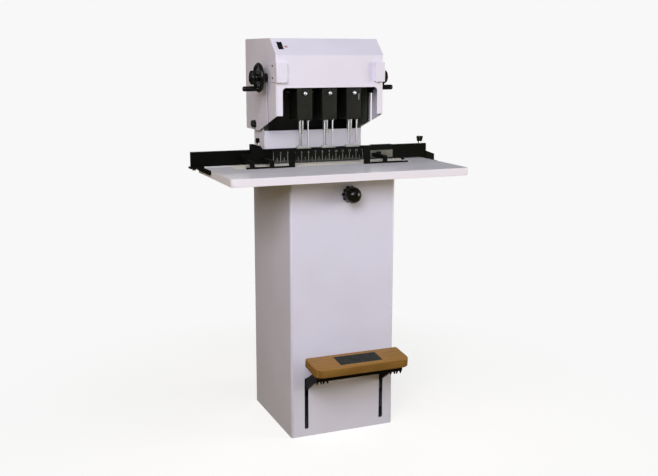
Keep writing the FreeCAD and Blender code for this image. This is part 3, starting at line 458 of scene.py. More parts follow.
def dressNode(node, finish, width):
    # the node's mesh stays as it is: corners are merged, flats made whole and edges softened by modifiers
    piece = nodes[node]
    piece.data.materials.clear()
    piece.data.materials.append(finish)
    weld = piece.modifiers.new("mergedCorners", "WELD")
    weld.merge_threshold = 1e-5
    flat = piece.modifiers.new("wholeFlats", "DECIMATE")
    flat.decimate_type = "DISSOLVE"
    flat.angle_limit = math.radians(0.6)
    soften = piece.modifiers.new("softEdges", "BEVEL")
    soften.width = width * milli
    soften.segments = 2
    soften.limit_method = "ANGLE"
    soften.angle_limit = math.radians(35)
    soften.use_clamp_overlap = True
    soften.harden_normals = False


for node, (finish, width) in dressed.items():
    dressNode(node, finish, width)
print("CAD pieces dressed")


treadle = {
    "halfWidth": 164.0, "depth": 107.0, "thickness": 29.0, "corner": 30.0, "edge": 3.5,
    "backEdge": (0.0, -259.2, 300.8), "tilt": 5.0,
    "matHalf": 73.3, "matFront": -85.8, "matBack": -20.2, "ribs": 16, "ribHeight": 0.7,
    "middle": 3.0, "nutOffsets": (119.0, 141.0), "nutY": -66.0,
}


def ribbedMat(part):
    # a strip whose top goes up and down as a raised cosine across its depth, carried along X
    y = np.linspace(part["matFront"], part["matBack"], part["ribs"] * 8 + 1)
    phase = (y - y[0]) / (y[-1] - y[0]) * part["ribs"] * 2 * math.pi
    top = 0.9 - part["ribHeight"] * (1 + np.cos(phase)) / 2
    section = np.concatenate([np.column_stack([y, top]), [(y[-1], 0.02), (y[0], 0.02)]])
    x = np.array([-part["matHalf"], part["matHalf"]])
    points = np.stack([np.column_stack([np.full(len(section), v), section]) for v in x])
    return points.reshape(-1, 3), cappedFaces(2, len(section))


def wingNut():
    # a small cone with two ears, each a soft outline made thick
    body = turnedForm(softProfile([(0, -57), (4.2, -57), (5.4, -51), (5.4, -33.1), (0, -33.1)], 0.8), 24)
    ear = softCorners([(2.0, -48), (6.4, -49.5), (9.6, -61), (8.6, -66.8), (5.8, -66.8), (2.2, -57)], 1.2)
    slab = slabForm(ear, -2.1, 2.1, 0.6)
    right = slab[0][:, [0, 2, 1]]
    return joined([body, (right, slab[1]), (right * (-1, 1, 1), slab[1])])


def treadlePiece(name, shape, finish, **more):
    return makePiece(name, tilted(shape, treadle["backEdge"], treadle["tilt"]), finish, "treadle", **more)


boardOutline = softCorners(rectangle(-treadle["halfWidth"], treadle["halfWidth"], -treadle["depth"], 0),
                           [treadle["corner"], treadle["corner"], 9, 9], 9)
treadlePiece("treadleBoard", slabForm(boardOutline, -treadle["thickness"], 0, treadle["edge"], 5), oak,
             stands=("treadle_board",), slot="oak", sharp=50)
treadlePiece("treadleMat", ribbedMat(treadle), rubber, stands=("treadle_pad",), slot="pad_rubber")
nuts = joined([placed(wingNut(), (treadle["middle"] + side * x, treadle["nutY"], 0))
               for side in (-1, 1) for x in treadle["nutOffsets"]])
treadlePiece("treadleWingNuts", nuts, blackCoat, stands=("treadle_wing_nuts",), slot="steel")

spring = {"turns": 7, "radius": 19.0, "wire": 1.7, "low": 499.9, "high": 618.1, "posts": 110.0,
          "postY": -30.0}


def springCoil(part):
    # wire along a helix: a circle's sine and cosine while the height grows evenly with the turns
    turn = np.linspace(0, part["turns"], part["turns"] * 28 + 1)
    angle = 2 * math.pi * turn
    path = np.column_stack([part["radius"] * np.cos(angle), part["radius"] * np.sin(angle),
                            part["low"] + (part["high"] - part["low"]) * turn / part["turns"]])
    return sweptForm(circleSection(part["wire"], 8), path)


coils = [placed(springCoil(spring), (side * spring["posts"], spring["postY"], 0)) for side in (-1, 1)]
springs = makePiece("returnSprings", joined(coils), springSteel, "cabinet", stands=("return_springs",),
                    slot="steel")
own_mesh(springs)
print("treadle and lift made")


head = {
    "middle": -1.5, "pitch": 87.5, "halfWidth": 27.0, "carriageHalf": 25.0, "front": -70.0, "back": 4.0,
    "bottom": 1048.5, "top": 1172.0,
    "carriageFront": -10.0, "carriageBack": 50.0, "carriageLow": 1140.0, "carriageTop": 1246.0,
    "faceHalf": 24.6, "faceLow": 1051.0, "faceTop": 1169.5, "faceRaise": 1.0, "faceSunk": 0.4,
    "knobZ": 1136.0, "rodTop": 1095.0,
    "spindleY": -33.0, "rodY": -60.0, "rodSpread": 14.5, "rodRadius": 2.3,
    "footLow": 956.2, "footTop": 962.2, "footFront": -67.0, "footBack": -20.0, "footHalf": 24.5,
    "footHole": 4.7, "footShoulder": -51.0, "footTail": 8.0, "drillTip": 956.0, "drillRadius": 3.2,
    "screwX": 20.5, "screwInset": 4.5, "tubeTop": 1256.0, "labelX": (101.4, 105.8),
    "labelZ": (1113.0, 1133.0),
}
headBodies = {"left": (-1, "head_left"), "centre": (0, "cabinet"), "right": (1, "head_right")}


def headCasting(x):
    # an upright block in front and a slightly narrower carriage behind it, both with soft corners
    half, wide = head["halfWidth"], head["carriageHalf"]
    front = softCorners(rectangle(x - half, x + half, head["front"], head["back"]), [3.5, 3.5, 1, 1])
    rear = softCorners(rectangle(x - wide, x + wide, head["carriageFront"], head["carriageBack"]), 2.0)
    return joined([slabForm(front, head["bottom"], head["top"], 1.2),
                   slabForm(rear, head["carriageLow"], head["carriageTop"], 1.2)])


def facePlate(x):
    # thin cover plate with soft corners
    half = head["faceHalf"]
    outline = softCorners(rectangle(x - half, x + half, head["faceLow"], head["faceTop"]), 3.0)
    return uprightSlab(outline, head["front"] - head["faceRaise"], head["front"] + head["faceSunk"], 0.5)


def hexSocketScrew(radius, height, socket, depth, sides=36):
    # dome-headed screw: a cosine of radius over a sine of height, then down a socket with a hexagon's radius
    angle = anglesRound(sides)
    hexagon = socket * math.cos(math.pi / 6) / np.cos((angle % (math.pi / 3)) - math.pi / 6)
    dome = np.linspace(0, 1, 5)
    outer = radius * np.append(1.0, np.cos(0.31 * math.pi * dome))
    levels = np.concatenate([[0.0], height * (0.35 + 0.65 * np.sin(math.pi / 2 * dome)),
                             [height, height - depth]])
    rings = np.concatenate([outer[:, None] * np.ones(sides), [hexagon, hexagon * 0.98]])
    return ringPoints(rings, levels[:, None], sides), cappedFaces(len(levels), sides)


def chuckForm():
    # straight chuck with a groove near its nose, one turned profile
    profile = [(0, 1012.2), (8.0, 1012.2), (9.6, 1014), (9.6, 1018.4), (8.6, 1018.6), (8.6, 1020.4),
               (9.6, 1020.6), (9.6, 1046.6), (9.0, 1047.4), (9.0, 1056), (0, 1056)]
    return turnedForm(softProfile(profile, 0.4), 64)


def drillForm():
    # hollow drill: a loop of radius and height with a sharpened lower edge and an open bore
    r, tip = head["drillRadius"], head["drillTip"]
    return ringForm([(2.3, tip + 0.2), (2.7, tip), (r, tip + 5), (r, 1002), (5.8, 1004.5), (5.8, 1013),
                     (2.2, 1013), (2.2, tip + 6)], 36)


def footForm(x):
    # plate that narrows behind its rods: rings run from the round hole's circle out to its soft outline
    half, tail = head["footHalf"], head["footTail"]
    front, shoulder, back = (head["foot" + end] - head["spindleY"] for end in ("Front", "Shoulder", "Back"))
    outline = softCorners([(-half, front), (half, front), (half, shoulder), (tail, back), (-tail, back),
                           (-half, shoulder)], [4.0, 4.0, 8.0, 9.0, 9.0, 8.0], 9)
    between = (outline + np.roll(outline, -1, 0)) / 2
    dense = np.concatenate([outline, between], 1).reshape(-1, 2)
    angle = np.arctan2(dense[:, 1], dense[:, 0])
    circle = head["footHole"] * np.column_stack([np.cos(angle), np.sin(angle)])
    low, top, soft = head["footLow"], head["footTop"], 0.9
    loops = [(0.0, low), (0.0, top), (0.97, top), (1.0, top - soft), (1.0, low + soft), (0.97, low)]
    rings = np.stack([np.column_stack([circle + (dense - circle) * share + (x, head["spindleY"]),
                                       np.full(len(dense), h)]) for share, h in loops])
    return rings.reshape(-1, 3), gridFaces(len(loops), len(dense), closeRows=True)


def postForm(radius, low, high, sides, soft):
    # a round bar with softened ends, or a nut where it has few sides
    return turnedForm(softProfile([(0, low), (radius, low), (radius, high), (0, high)], soft), sides)


def rodPair(x):
    foot = head["footTop"]
    rod = postForm(head["rodRadius"], foot - 0.5, head["rodTop"], sides=24, soft=0.4)
    nut = postForm(5.0, foot, foot + 3.2, sides=6, soft=0.6)
    return joined([placed(shape, (x + side * head["rodSpread"], head["rodY"], 0))
                   for side in (-1, 1) for shape in (rod, nut)])


def headKnobForm():
    # a short round knob: a straight foot and then part of a flattened ball, radius by cosine, height by sine
    ball = np.radians(np.linspace(-50, 90, 12))
    return turnedForm(np.column_stack([np.append(4.0, 6.8 * np.cos(ball)),
                                       np.append(0.0, 4.4 + 5.6 * np.sin(ball))]), 40)


for side, (sign, body) in headBodies.items():
    x = head["middle"] + sign * head["pitch"]
    makePiece("headCasting_" + side, headCasting(x), castPaintedShade, body,
              stands=("head_block_" + side,), slot="cast_dark", sharp=40)
    makePiece("headFacePlate_" + side, facePlate(x), castCoat, body, slot="cast_dark", sharp=40)
    face = head["front"] - head["faceRaise"]
    makePiece("headKnob_" + side, placed(headKnobForm(), (x, face, head["knobZ"]), (0, -1, 0)), satinChrome,
              body, slot="chrome")
    screw = hexSocketScrew(radius=1.9, height=1.1, socket=1.0, depth=0.8)
    corners = [placed(screw, (x + end * head["screwX"], face + 0.1, z), (0, -1, 0))
               for end in (-1, 1)
               for z in (head["faceLow"] + head["screwInset"], head["faceTop"] - head["screwInset"])]
    makePiece("headScrews_" + side, joined(corners), blackPlastic, body, slot="cast_dark")
    collar = ringForm([(3.1, 0), (3.1, -3.0), (5.4, -3.0), (5.8, -2.4), (5.8, 0)], 32)
    collars = [placed(collar, (x + end * head["rodSpread"], head["rodY"], head["bottom"] + 0.2))
               for end in (-1, 1)]
    makePiece("rodCollars_" + side, joined(collars), groundSteel, body, slot="steel")
    spot = (x, head["spindleY"], 0)
    makePiece("chuck_" + side, placed(chuckForm(), spot), brushedSteel, "spindle_" + side,
              stands=("spindle_" + side,), slot="chrome")
    makePiece("hollowDrill_" + side, placed(drillForm(), spot), groundSteel, "spindle_" + side, slot="steel")
    tube = ringForm(rectangle(3.0, 9.0, 1056, head["tubeTop"]), 40)
    makePiece("spindleTube_" + side, placed(tube, spot), groundSteel, "spindle_" + side, slot="steel")
    makePiece("presserFoot_" + side, footForm(x), nylon, "presser_" + side,
              stands=("presser_foot_" + side,), slot="steel", sharp=50)
    makePiece("presserRods_" + side, rodPair(x), satinChrome, "presser_" + side, slot="chrome", sharp=25)
face = head["front"] - head["faceRaise"]
smallPlate = uprightSlab(softCorners(rectangle(*head["labelX"], *head["labelZ"]), 1.0), face - 0.3,
                         face + 0.05, 0.1)
makePiece("blankPlate_right", smallPlate, greyCoat, "head_right", slot="cast_dark")
print("heads made")


wheel = {
    "x": {"left": 220.0, "right": 213.0}, "y": 12.0, "z": 1186.0, "gripDrop": 36.0, "screwRadius": 5.0,
    "rimMiddle": 42.5, "rimSection": 6.5, "hubRadius": 11.5, "webRadius": 38.0, "webHalf": 2.0,
    "holes": 5, "holeMiddle": 27.0, "holeRadius": 7.0, "firstHole": {"left": 0.0, "right": 180.0},
    "knobOut": 14.0, "gripOut": 8.3, "threadGap": 0.2,
    "sleeveStart": 191.0, "hubBack": 9.0, "threadStart": 29.0, "threadPitch": 2.5, "threadDepth": 0.8,
}
wheelAxis = (wheel["y"], wheel["z"])
coverScrew = {"x": 190.0, "y": 144.5, "z": 1026.0}


def webForm():
    # one sector of the web: rings of points run from its edge in to its round hole, through, and out again
    half = math.pi / wheel["holes"]
    sweep = np.linspace(-half, half, 13)
    inner, outer = wheel["hubRadius"], wheel["webRadius"]
    out = np.linspace(inner, outer, 9)[1:-1]
    arcs = [np.column_stack([r * np.cos(sweep), r * np.sin(sweep)]) for r in (outer, inner)]
    lines = [np.column_stack([out * math.cos(a), out * math.sin(a)]) for a in (half, -half)]
    outline = np.concatenate([arcs[0], lines[0][::-1], arcs[1][::-1], lines[1]])
    toHole = outline - (wheel["holeMiddle"], 0)
    around = toHole / np.linalg.norm(toHole, axis=1, keepdims=True)
    t, r, soft = wheel["webHalf"], wheel["holeRadius"], 0.6
    circles = [np.column_stack([around * radius + (wheel["holeMiddle"], 0), np.full(len(outline), h)])
               for radius, h in ((r + soft, -t), (r, soft - t), (r, t - soft), (r + soft, t))]
    flats = [np.column_stack([outline, np.full(len(outline), h)]) for h in (-t, t)]
    rings = np.stack([flats[0], *circles, flats[1]])
    return rings.reshape(-1, 3), gridFaces(len(rings), len(outline)).tolist()


def wheelForm(spin):
    # turned hub and round rim, joined by a web whose sectors are copies turned about the axis
    hub = turnedForm([(0, -8.3), (11.0, -8.3), (12.0, -7.3), (12.0, 12.6), (11.0, 13.8), (0, 13.8)], 48)
    rim = ringForm(circleSection(wheel["rimSection"], 20) + (wheel["rimMiddle"], 0), 96)
    web = webForm()
    step = 360 / wheel["holes"]
    return joined([hub, rim] + [placed(web, spin=spin + step * i) for i in range(wheel["holes"])])


def hubKnobForm():
    # round lock knob with soft flutes round its edge
    profile = [(0, 0), (17, 0), (21.4, 1.2), (23.2, 4), (23.2, 10.5), (21.4, 13.8), (16, 16.6), (8, 18.4),
               (0, 19)]
    return turnedForm(softProfile(profile, 1.2), sides=96, flutes=16, depth=1.2, fluted=(1.0, 14.0))


def gripForm():
    # slightly barrelled turning grip with a rounded end
    profile = [(3.05, 0), (7.0, 0), (8.0, 1.2), (8.4, 3), (8.7, 24), (8.4, 42), (7.4, 44.8), (6.0, 45.8),
               (0, 46)]
    return turnedForm(profile, 40)


def threadForm(part, sides=24):
    # a screw along X: the radius falls and rises with x less the angle round it, once in each pitch
    pitch = part["threadPitch"]
    x = np.arange(part["threadStart"], part["sleeveStart"], pitch / 6)[:, None]
    phase = (x / pitch - anglesRound(sides) / (2 * math.pi)) % 1
    radius = part["screwRadius"] - part["threadGap"] - part["threadDepth"] * np.abs(2 * phase - 1)
    points = ringPoints(radius, x, sides)[:, [2, 0, 1]] + (0, part["y"], part["z"])
    return points, cappedFaces(len(x), sides)


for side, sign in (("left", -1), ("right", 1)):
    across = (sign, 0, 0)
    body = "wheel_" + side
    wheelX = wheel["x"][side]
    hub = (sign * wheelX, *wheelAxis)
    boss = turnedForm([(0, -3), (7.4, -3), (7.4, 6.6), (6.8, 7.6), (0, 7.6)], 32)
    low = (sign * wheelX, wheel["y"], wheel["z"] - wheel["gripDrop"])
    wheelShape = joined([placed(wheelForm(wheel["firstHole"][side]), hub, across), placed(boss, low, across)])
    makePiece("handwheel_" + side, wheelShape, phenolic, body, stands=("handwheel_" + side,),
              slot="black_plastic", sharp=45)
    knobPlace = (sign * (wheelX + wheel["knobOut"]), *wheelAxis)
    makePiece("hubKnob_" + side, placed(hubKnobForm(), knobPlace, across), phenolic, body,
              slot="black_plastic", sharp=50)
    pin = turnedForm([(0, 0), (3.0, 0), (3.0, 43), (0, 43)], 24)
    gripPlace = (sign * (wheelX + wheel["gripOut"]), *low[1:])
    makePiece("gripPin_" + side, placed(pin, gripPlace, across), groundSteel, body, slot="steel")
    makePiece("crankGrip_" + side, placed(gripForm(), gripPlace, across), phenolic, "grip_" + side,
              stands=("crank_grip_" + side,), slot="black_plastic", sharp=45)
    long = wheelX - wheel["hubBack"] - wheel["sleeveStart"]
    collar = turnedForm(softProfile([(0, 0), (13.0, 0), (14.0, 1.0), (14.0, long - 1), (13.0, long),
                                     (0, long)], 0.4), 48)
    makePiece("screwCollar_" + side, placed(collar, (sign * wheel["sleeveStart"], *wheelAxis), across),
              phenolic, body, slot="black_plastic")
    thread = threadForm(wheel)
    makePiece("leadScrew_" + side, thread if sign > 0 else mirroredForm(thread), groundSteel, body,
              stands=("lead_screw_" + side,), slot="steel", sharp=70)
    thumb = turnedForm(softProfile([(0, 0.3), (11.2, 0.3), (12.4, 1.6), (12.4, 12.2), (10.6, 14.6), (0, 15)],
                                   0.8), sides=96, flutes=24, depth=0.8, fluted=(1.0, 12.6))
    thumbPlace = (sign * coverScrew["x"], coverScrew["y"], coverScrew["z"])
    makePiece("coverThumbScrew_" + side, placed(thumb, thumbPlace, across), blackPlastic,
              "cover_screw_" + side, stands=("cover_thumb_screw_" + side,), slot="black_plastic")
print("handwheels made")

stopKnob = {"x": 18.5, "z": 816.5, "face": -192.0, "lobes": 10, "ball": 26.8, "ballMiddle": 32.0}


def stopKnobForm(sides=120):
    # skirt, neck and ball in one: the skirt's radius swings by a cosine ten times round, and dies out above
    skirt = [(0.0, 0.0, 0.0), (24.4, 0.0, 1.6), (25.8, 1.0, 2.0), (26.2, 3.0, 2.2), (26.2, 7.0, 2.2),
             (26.0, 11.0, 2.1), (25.0, 13.2, 1.2), (24.2, 14.0, 0.4), (23.9, 15.0, 0.0), (24.0, 20.0, 0.0)]
    dome = np.radians(np.linspace(-24, 90, 18))
    ball = np.column_stack([stopKnob["ball"] * np.cos(dome),
                            stopKnob["ballMiddle"] + stopKnob["ball"] * np.sin(dome), np.zeros(len(dome))])
    radius, height, swing = np.concatenate([skirt, ball])[:, :, None].transpose(1, 0, 2)
    radius = radius + swing * np.cos(stopKnob["lobes"] * anglesRound(sides))
    return ringPoints(radius, height, sides), gridFaces(len(height), sides)


knobPlace = (stopKnob["x"], stopKnob["face"], stopKnob["z"])
makePiece("heightKnob", placed(stopKnobForm(), knobPlace, (0, -1, 0)), phenolic, "stop_knob",
          stands=("height_knob",), slot="black_plastic", sharp=55)

caseScrews = {
    "backX": 170.5, "backY": 188.0, "backZ": (60, 320, 580, 836),
    "sideX": 192.5, "sideY": -51.0, "sideZ": (1186.2, 1224.7),
}
panHead = hexSocketScrew(radius=3.2, height=1.9, socket=1.6, depth=1.3)
screws = [placed(panHead, (s * caseScrews["backX"], caseScrews["backY"], z), (0, 1, 0))
          for s in (-1, 1) for z in caseScrews["backZ"]]
screws += [placed(panHead, (s * caseScrews["sideX"], caseScrews["sideY"], z), (s, 0, 0))
           for s in (-1, 1) for z in caseScrews["sideZ"]]
makePiece("caseScrews", joined(screws), screwSteel, "cabinet", stands=("case_screws",), slot="steel")


fence = {
    "plateFront": 31.6, "plateLow": 900.0, "firstInch": -163.9, "inch": 25.4, "inches": 14,
    "inchWidth": 1.3, "halfWidth": 1.0, "tickWidth": 0.5,
    "inchHigh": 26.0, "halfHigh": 16.0, "quarterHigh": 8.0, "tickHigh": 4.0,
    "lineRaise": 0.06, "numeralSize": 11.0, "numeralGap": 3.2,
    "lockPlace": (390.5, 37.0, 955.0), "screwPlace": (-437.0, 36.0, 887.4),
}
guides = {
    "leftKnob": (-217.5, 38.0, 971.0), "rightKnobX": (215.7, 231.3), "rightKnobZ": (912.7, 926.3),
    "rightKnobY": (15.8, 24.8), "plateX": (193.0, 279.3), "plateZ": (904.3, 930.5), "plateY": (24.5, 24.95),
    "sleevePlace": (273.2, -68.0, 901.5),
}


def scaleLines(part):
    # upright bars from the plate's foot: tall at whole inches, and lower at halves, quarters and eighths
    eighth = np.arange((part["inches"] - 1) * 8 + 1)
    high = np.where(eighth % 8 == 0, part["inchHigh"], np.where(eighth % 4 == 0, part["halfHigh"],
                    np.where(eighth % 2 == 0, part["quarterHigh"], part["tickHigh"])))
    x = part["firstInch"] + eighth * part["inch"] / 8
    wide = np.where(eighth % 8 == 0, part["inchWidth"],
                    np.where(eighth % 4 == 0, part["halfWidth"], part["tickWidth"]))
    y, low = part["plateFront"] - part["lineRaise"], part["plateLow"] + 1.0
    corner = np.array([(-1, 0), (1, 0), (1, 1), (-1, 1)])
    points = np.stack([x[:, None] + corner[:, 0] * wide[:, None] / 2, np.full((len(x), 4), y),
                       low + corner[:, 1] * high[:, None]], -1)
    return points.reshape(-1, 3), np.arange(len(x) * 4).reshape(-1, 4).tolist()


def numeralForms(part):
    # each numeral's outline as a flat mesh, stood upright above its inch line
    shapes = []
    for i in range(part["inches"]):
        text = bpy.data.curves.new("numeral", "FONT")
        text.body = str(i + 1)
        text.size = part["numeralSize"]
        text.align_x = "CENTER"
        text.resolution_u = 3
        holder = addObject("numeral", text)
        bpy.context.view_layer.update()
        flat = bpy.data.meshes.new_from_object(holder.evaluated_get(bpy.context.evaluated_depsgraph_get()))
        points = np.zeros(len(flat.vertices) * 3)
        flat.vertices.foreach_get("co", points)
        points = points.reshape(-1, 3)
        stood = np.column_stack([points[:, 0] + part["firstInch"] + i * part["inch"],
                                 np.full(len(points), part["plateFront"] - part["lineRaise"]),
                                 points[:, 1] + part["plateLow"] + part["inchHigh"] + part["numeralGap"]])
        shapes.append((stood, [list(p.vertices) for p in flat.polygons]))
        bpy.data.objects.remove(holder)
        bpy.data.meshes.remove(flat)
        bpy.data.curves.remove(text)
    return joined(shapes)


def faceForward(piece):
    # a flat printed mark has no inside, so its faces are turned to look at the operator by their normals
    work = bmesh.new()
    work.from_mesh(piece.data)
    work.normal_update()
    bmesh.ops.reverse_faces(work, faces=[f for f in work.faces if f.normal.y > 0])
    work.to_mesh(piece.data)
    work.free()


for name, shape in (("scaleLines", scaleLines(fence)), ("scaleNumerals", numeralForms(fence))):
    faceForward(makePiece(name, shape, markPaint, "fence", slot="scale_black"))


def lobedForm(radius, height, lobes, swing, soft, foot, sides=90):
    # knob whose radius swings with the angle and narrows to a share at its foot, its edges a quarter circle
    bend = np.radians(np.linspace(0, 90, 6))
    shrink = np.concatenate([[radius], soft * (1 - np.sin(bend)), soft * (1 - np.sin(bend[::-1])), [radius]])
    level = np.concatenate([[0], soft * (1 - np.cos(bend)), height - soft * (1 - np.cos(bend[::-1])),
                            [height]])
    edge = radius - swing * (1 - np.cos(lobes * (anglesRound(sides) - math.pi / 2))) / 2
    widen = foot + (1 - foot) * np.sqrt(level / height)
    rings = np.maximum(edge * widen[:, None] - shrink[:, None], 0)
    return ringPoints(rings, level[:, None], sides), gridFaces(len(level), sides)


lockPlace = fence["lockPlace"]
lockKnob = lobedForm(radius=14.4, height=19.0, lobes=3, swing=6.0, soft=2.6, foot=0.6)
makePiece("fenceLockKnob", placed(lockKnob, lockPlace), phenolic, "lock_knob", stands=("fence_lock_knob",),
          slot="black_plastic", sharp=50)
stud = turnedForm([(0, -6.7), (3.5, -6.7), (3.5, 0.5), (0, 0.5)], 24)
makePiece("fenceLockStud", placed(stud, lockPlace), chrome, "lock_knob", slot="chrome")
knurled = turnedForm(softProfile([(0, 0), (5.2, 0), (6.4, 1.2), (6.4, 4.6), (5.6, 5.5), (0, 5.5)], 0.3),
                     sides=72, flutes=24, depth=0.5, fluted=(1.0, 4.8))
screwShank = turnedForm([(0, 5.4), (2.4, 5.4), (2.4, 10.6), (0, 10.6)], 20)
makePiece("fenceLockScrew", placed(joined([knurled, screwShank]), fence["screwPlace"]), chrome, "lock_screw",
          stands=("fence_lock_screw",), slot="chrome")

cap = turnedForm(softProfile([(0, 0), (6.0, 0), (6.9, 1.2), (6.9, 13.0), (5.8, 14.7), (0, 15)], 0.7),
                 sides=96, flutes=20, depth=0.6, fluted=(1.0, 13.2))
makePiece("guideClampKnob_left", placed(cap, guides["leftKnob"]), phenolic, "clamp_left",
          stands=("guide_knob_left",), slot="black_plastic")
clampStud = turnedForm([(0, -22.0), (3.0, -22.0), (3.0, 0.5), (0, 0.5)], 24)
makePiece("guideClampStud_left", placed(clampStud, guides["leftKnob"]), chrome, "clamp_left", slot="chrome")
square = uprightSlab(softCorners(rectangle(*guides["rightKnobX"], *guides["rightKnobZ"]), 2.5),
                     *guides["rightKnobY"], 1.2)
makePiece("guideClampKnob_right", square, phenolic, "clamp_right", stands=("guide_knob_right",),
          slot="black_plastic")
rightPlate = uprightSlab(softCorners(rectangle(*guides["plateX"], *guides["plateZ"]), 1.0), *guides["plateY"],
                         0.1)
makePiece("guideFacePlate_right", rightPlate, plateCoat, "guide_right", slot="guide_black")
footSleeve = ringForm(rectangle(2.5, 2.7, 0, 3.5), 24)
makePiece("guideFootSleeve_right", placed(footSleeve, guides["sleevePlace"]), chrome, "guide_right",
          slot="guide_black")
print("fence made")


louvres = {"rows": 8, "firstZ": 179.0, "pitch": 22.0, "halfLength": 44.0, "centre": 85.0, "stand": 5.5,
           "high": 12.0, "panelY": 188.0, "sheet": 0.8}


def louvreHood(centreX, lowZ):
    # pressed hood over a slot: a quarter wave out from the panel that fades to nothing at its two ends
    x = np.linspace(-1, 1, 25)
    t = np.linspace(0, 1, 8)
    fade = np.clip((1 - np.abs(x)) / 0.16, 0, 1) ** 0.5
    out = louvres["stand"] * np.cos(t * math.pi / 2)[:, None] * fade[None, :]
    across, out, up = np.broadcast_arrays(centreX + x * louvres["halfLength"], louvres["panelY"] + out,
                                          (lowZ + t * louvres["high"])[:, None])
    outer = np.stack([across, out, up], -1)
    inner = outer - (0, louvres["sheet"], 0)
    inner[..., 1] = np.maximum(inner[..., 1], louvres["panelY"] - 0.1)
    grid = np.concatenate([outer, inner[::-1]])
    return grid.reshape(-1, 3), gridFaces(len(grid), 25, closeRows=True, closeColumns=False).tolist()


hoods = [louvreHood(side * louvres["centre"], louvres["firstZ"] + row * louvres["pitch"])
         for side in (-1, 1) for row in range(louvres["rows"])]
makePiece("backLouvres", joined(hoods), cabinetCoat, "cabinet", slot="cabinet_paint", sharp=60)

slope = {"top": (-18.6, 1312.5), "foot": (-78.4, 1258.4), "labelX": -145.3, "labelShare": 0.50}
slopeVector = np.array(slope["top"]) - slope["foot"]
slopeAngle = math.degrees(math.atan2(slopeVector[1], slopeVector[0]))


def onSlope(shape, x, share):
    # a flat shape, Y up the slope, set on the cover's sloped front at a share of its length from the foot
    y, z = np.array(slope["foot"]) + slopeVector * share
    return tilted(shape, (x, y, z), slopeAngle)


blank = slabForm(softCorners(rectangle(-5.5, 5.5, -4.2, 4.2), 1.0), 0.0, 0.25, 0.08)
makePiece("blankLabel", onSlope(blank, slope["labelX"], slope["labelShare"]), labelFilm, "cabinet",
          slot="cover_paint")
print("cabinet details made")


studio = {
    "background": "#f8f8f8", "worldLight": 0.02, "worldColour": "#f4f4f8", "mirrorLight": 0.2,
    "floorHalf": 14.0, "shadowShare": 0.30, "shadowNear": 0.35, "shadowFar": 1.3,
    "floorBounce": "#9c8a55", "floorSeen": 1.42, "aim": (0.0, 0.0, 0.75),
}
lamps = {  # name: place and size in metres, power in watts, colour
    "keyLamp": ((-1.8, -3.0, 2.6), 2.0, 106.0, "#fffffb"),
    "rightLamp": ((3.4, -1.8, 1.3), 1.8, 80.0, "#fff9e4"),
    "leftLamp": ((-3.0, -0.8, 2.4), 2.0, 26.0, "#ffecd4"),
    "topLamp": ((0.2, -2.6, 3.2), 1.8, 16.0, "#d0d6ff"),
    "backLamp": ((0.7, 3.4, 1.0), 2.2, 34.0, "#ffffff"),
}


def cameraRays(tree):
    # 1 for rays from the camera, also through glass
    rays = addNode(tree, "LightPath").node.outputs
    return addNode(tree, "Math", {"operation": "MAXIMUM"},
                   {0: rays["Is Camera Ray"], 1: rays["Is Transmission Ray"]}), rays["Is Glossy Ray"]


def paleWorld():
    # the camera and reflections see the pale background; everything else gets the studio's soft grey light
    world = bpy.data.worlds.new("paleStudio")
    bpy.context.scene.world = world
    world.use_nodes = True
    tree = world.node_tree
    tree.nodes.clear()
    seen, glossy = cameraRays(tree)
    light, mirror, shown = (
        addNode(tree, "Background", inputs={"Color": toLinear(studio[colour]), "Strength": strength})
        for colour, strength in (("worldColour", studio["worldLight"]), ("background", studio["mirrorLight"]),
                                 ("background", 1.0)))
    soft = addNode(tree, "MixShader", inputs={0: glossy, 1: light, 2: mirror})
    mix = addNode(tree, "MixShader", inputs={0: seen, 1: soft, 2: shown})
    addNode(tree, "OutputWorld", inputs={0: mix})


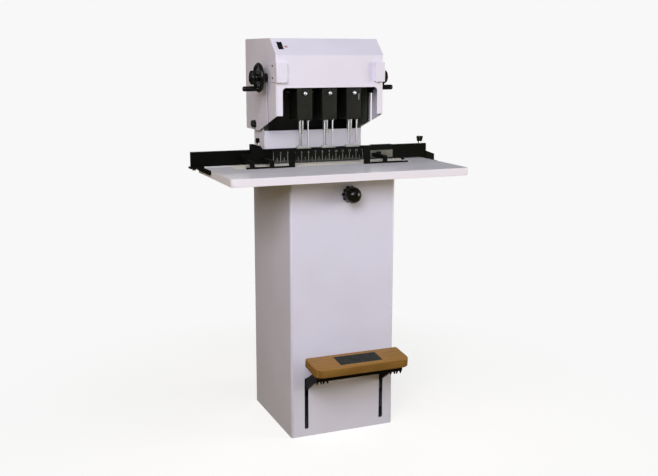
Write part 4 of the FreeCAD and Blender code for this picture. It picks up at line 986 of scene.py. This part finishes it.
def paleFloor():
    # the floor glows in the background's colour for the camera, and keeps a share of real shading nearby
    half = studio["floorHalf"]
    mesh = bpy.data.meshes.new("studioFloor")
    mesh.from_pydata([(x, y, 0) for x, y in rectangle(-half, half, -half, half)], [], [(0, 1, 2, 3)])
    floor = addObject("studioFloor", mesh)
    finish = bpy.data.materials.new("paleFloorPaint")
    finish.use_nodes = True
    tree = finish.node_tree
    tree.nodes.clear()
    place = addNode(tree, "TexCoord", out="Object")
    distance = addNode(tree, "VectorMath", {"operation": "LENGTH"}, {0: place}, "Value")
    near = addNode(tree, "MapRange", inputs={
        "Value": distance, "From Min": studio["shadowNear"], "From Max": studio["shadowFar"],
        "To Min": studio["shadowShare"], "To Max": 0.0})
    glow = addNode(tree, "Emission", inputs={"Color": toLinear(studio["background"])})
    matt = addNode(tree, "BsdfDiffuse", inputs={"Color": (studio["floorSeen"],) * 3 + (1.0,)})
    bounce = addNode(tree, "BsdfDiffuse", inputs={"Color": toLinear(studio["floorBounce"])})
    cameraSees = addNode(tree, "MixShader", inputs={0: near, 1: glow, 2: matt})
    mix = addNode(tree, "MixShader", inputs={0: cameraRays(tree)[0], 1: bounce, 2: cameraSees})
    addNode(tree, "OutputMaterial", inputs={0: mix})
    mesh.materials.append(finish)


def setAxes(thing, right, up, back, place):
    # an object's world matrix has its own X, Y and Z axes and its place as columns
    matrix = np.eye(4)
    matrix[:3] = np.column_stack([right, up, back, place])
    thing.matrix_world = Matrix(matrix.tolist())


def addLamp(name, place, size, power, colour):
    # a square lamp whose -Z looks at the middle of the object
    data = bpy.data.lights.new(name, "AREA")
    data.shape = "SQUARE"
    data.size = size
    data.energy = power
    data.color = toLinear(colour)[:3]
    back = np.array(place) - studio["aim"]
    back /= np.linalg.norm(back)
    right = np.cross((0, 0, 1.0), back)
    right /= np.linalg.norm(right)
    setAxes(addObject(name, data), right, np.cross(back, right), back, place)


view = {
    "place": (-1.1677, -2.9098, 1.2644), "yaw": 22.307, "pitch": 11.338, "roll": 0.102, "lens": 50.38,
    "sensor": 36.0, "nearest": 0.05, "farthest": 60.0,
}


def addCamera():
    # looks yaw to the right of +Y and pitch below the horizon, turned about its line of sight by roll
    yaw, pitch, roll = (math.radians(view[k]) for k in ("yaw", "pitch", "roll"))
    ahead = np.array([math.sin(yaw) * math.cos(pitch), math.cos(yaw) * math.cos(pitch), -math.sin(pitch)])
    right = np.array([math.cos(yaw), -math.sin(yaw), 0.0])
    up = np.cross(right, ahead)
    turnedRight = right * math.cos(roll) + up * math.sin(roll)
    turnedUp = -right * math.sin(roll) + up * math.cos(roll)
    data = bpy.data.cameras.new("studioCamera")
    data.lens = view["lens"]
    data.sensor_width = view["sensor"]
    data.sensor_fit = "HORIZONTAL"
    data.clip_start, data.clip_end = view["nearest"], view["farthest"]
    camera = addObject("studioCamera", data)
    setAxes(camera, turnedRight, turnedUp, -ahead, view["place"])
    bpy.context.scene.camera = camera


paleWorld()
paleFloor()
for name, settings in lamps.items():
    addLamp(name, *settings)
addCamera()
bpy.context.scene.view_settings.view_transform = "Standard"
print("studio made")

bpy.context.view_layer.update()
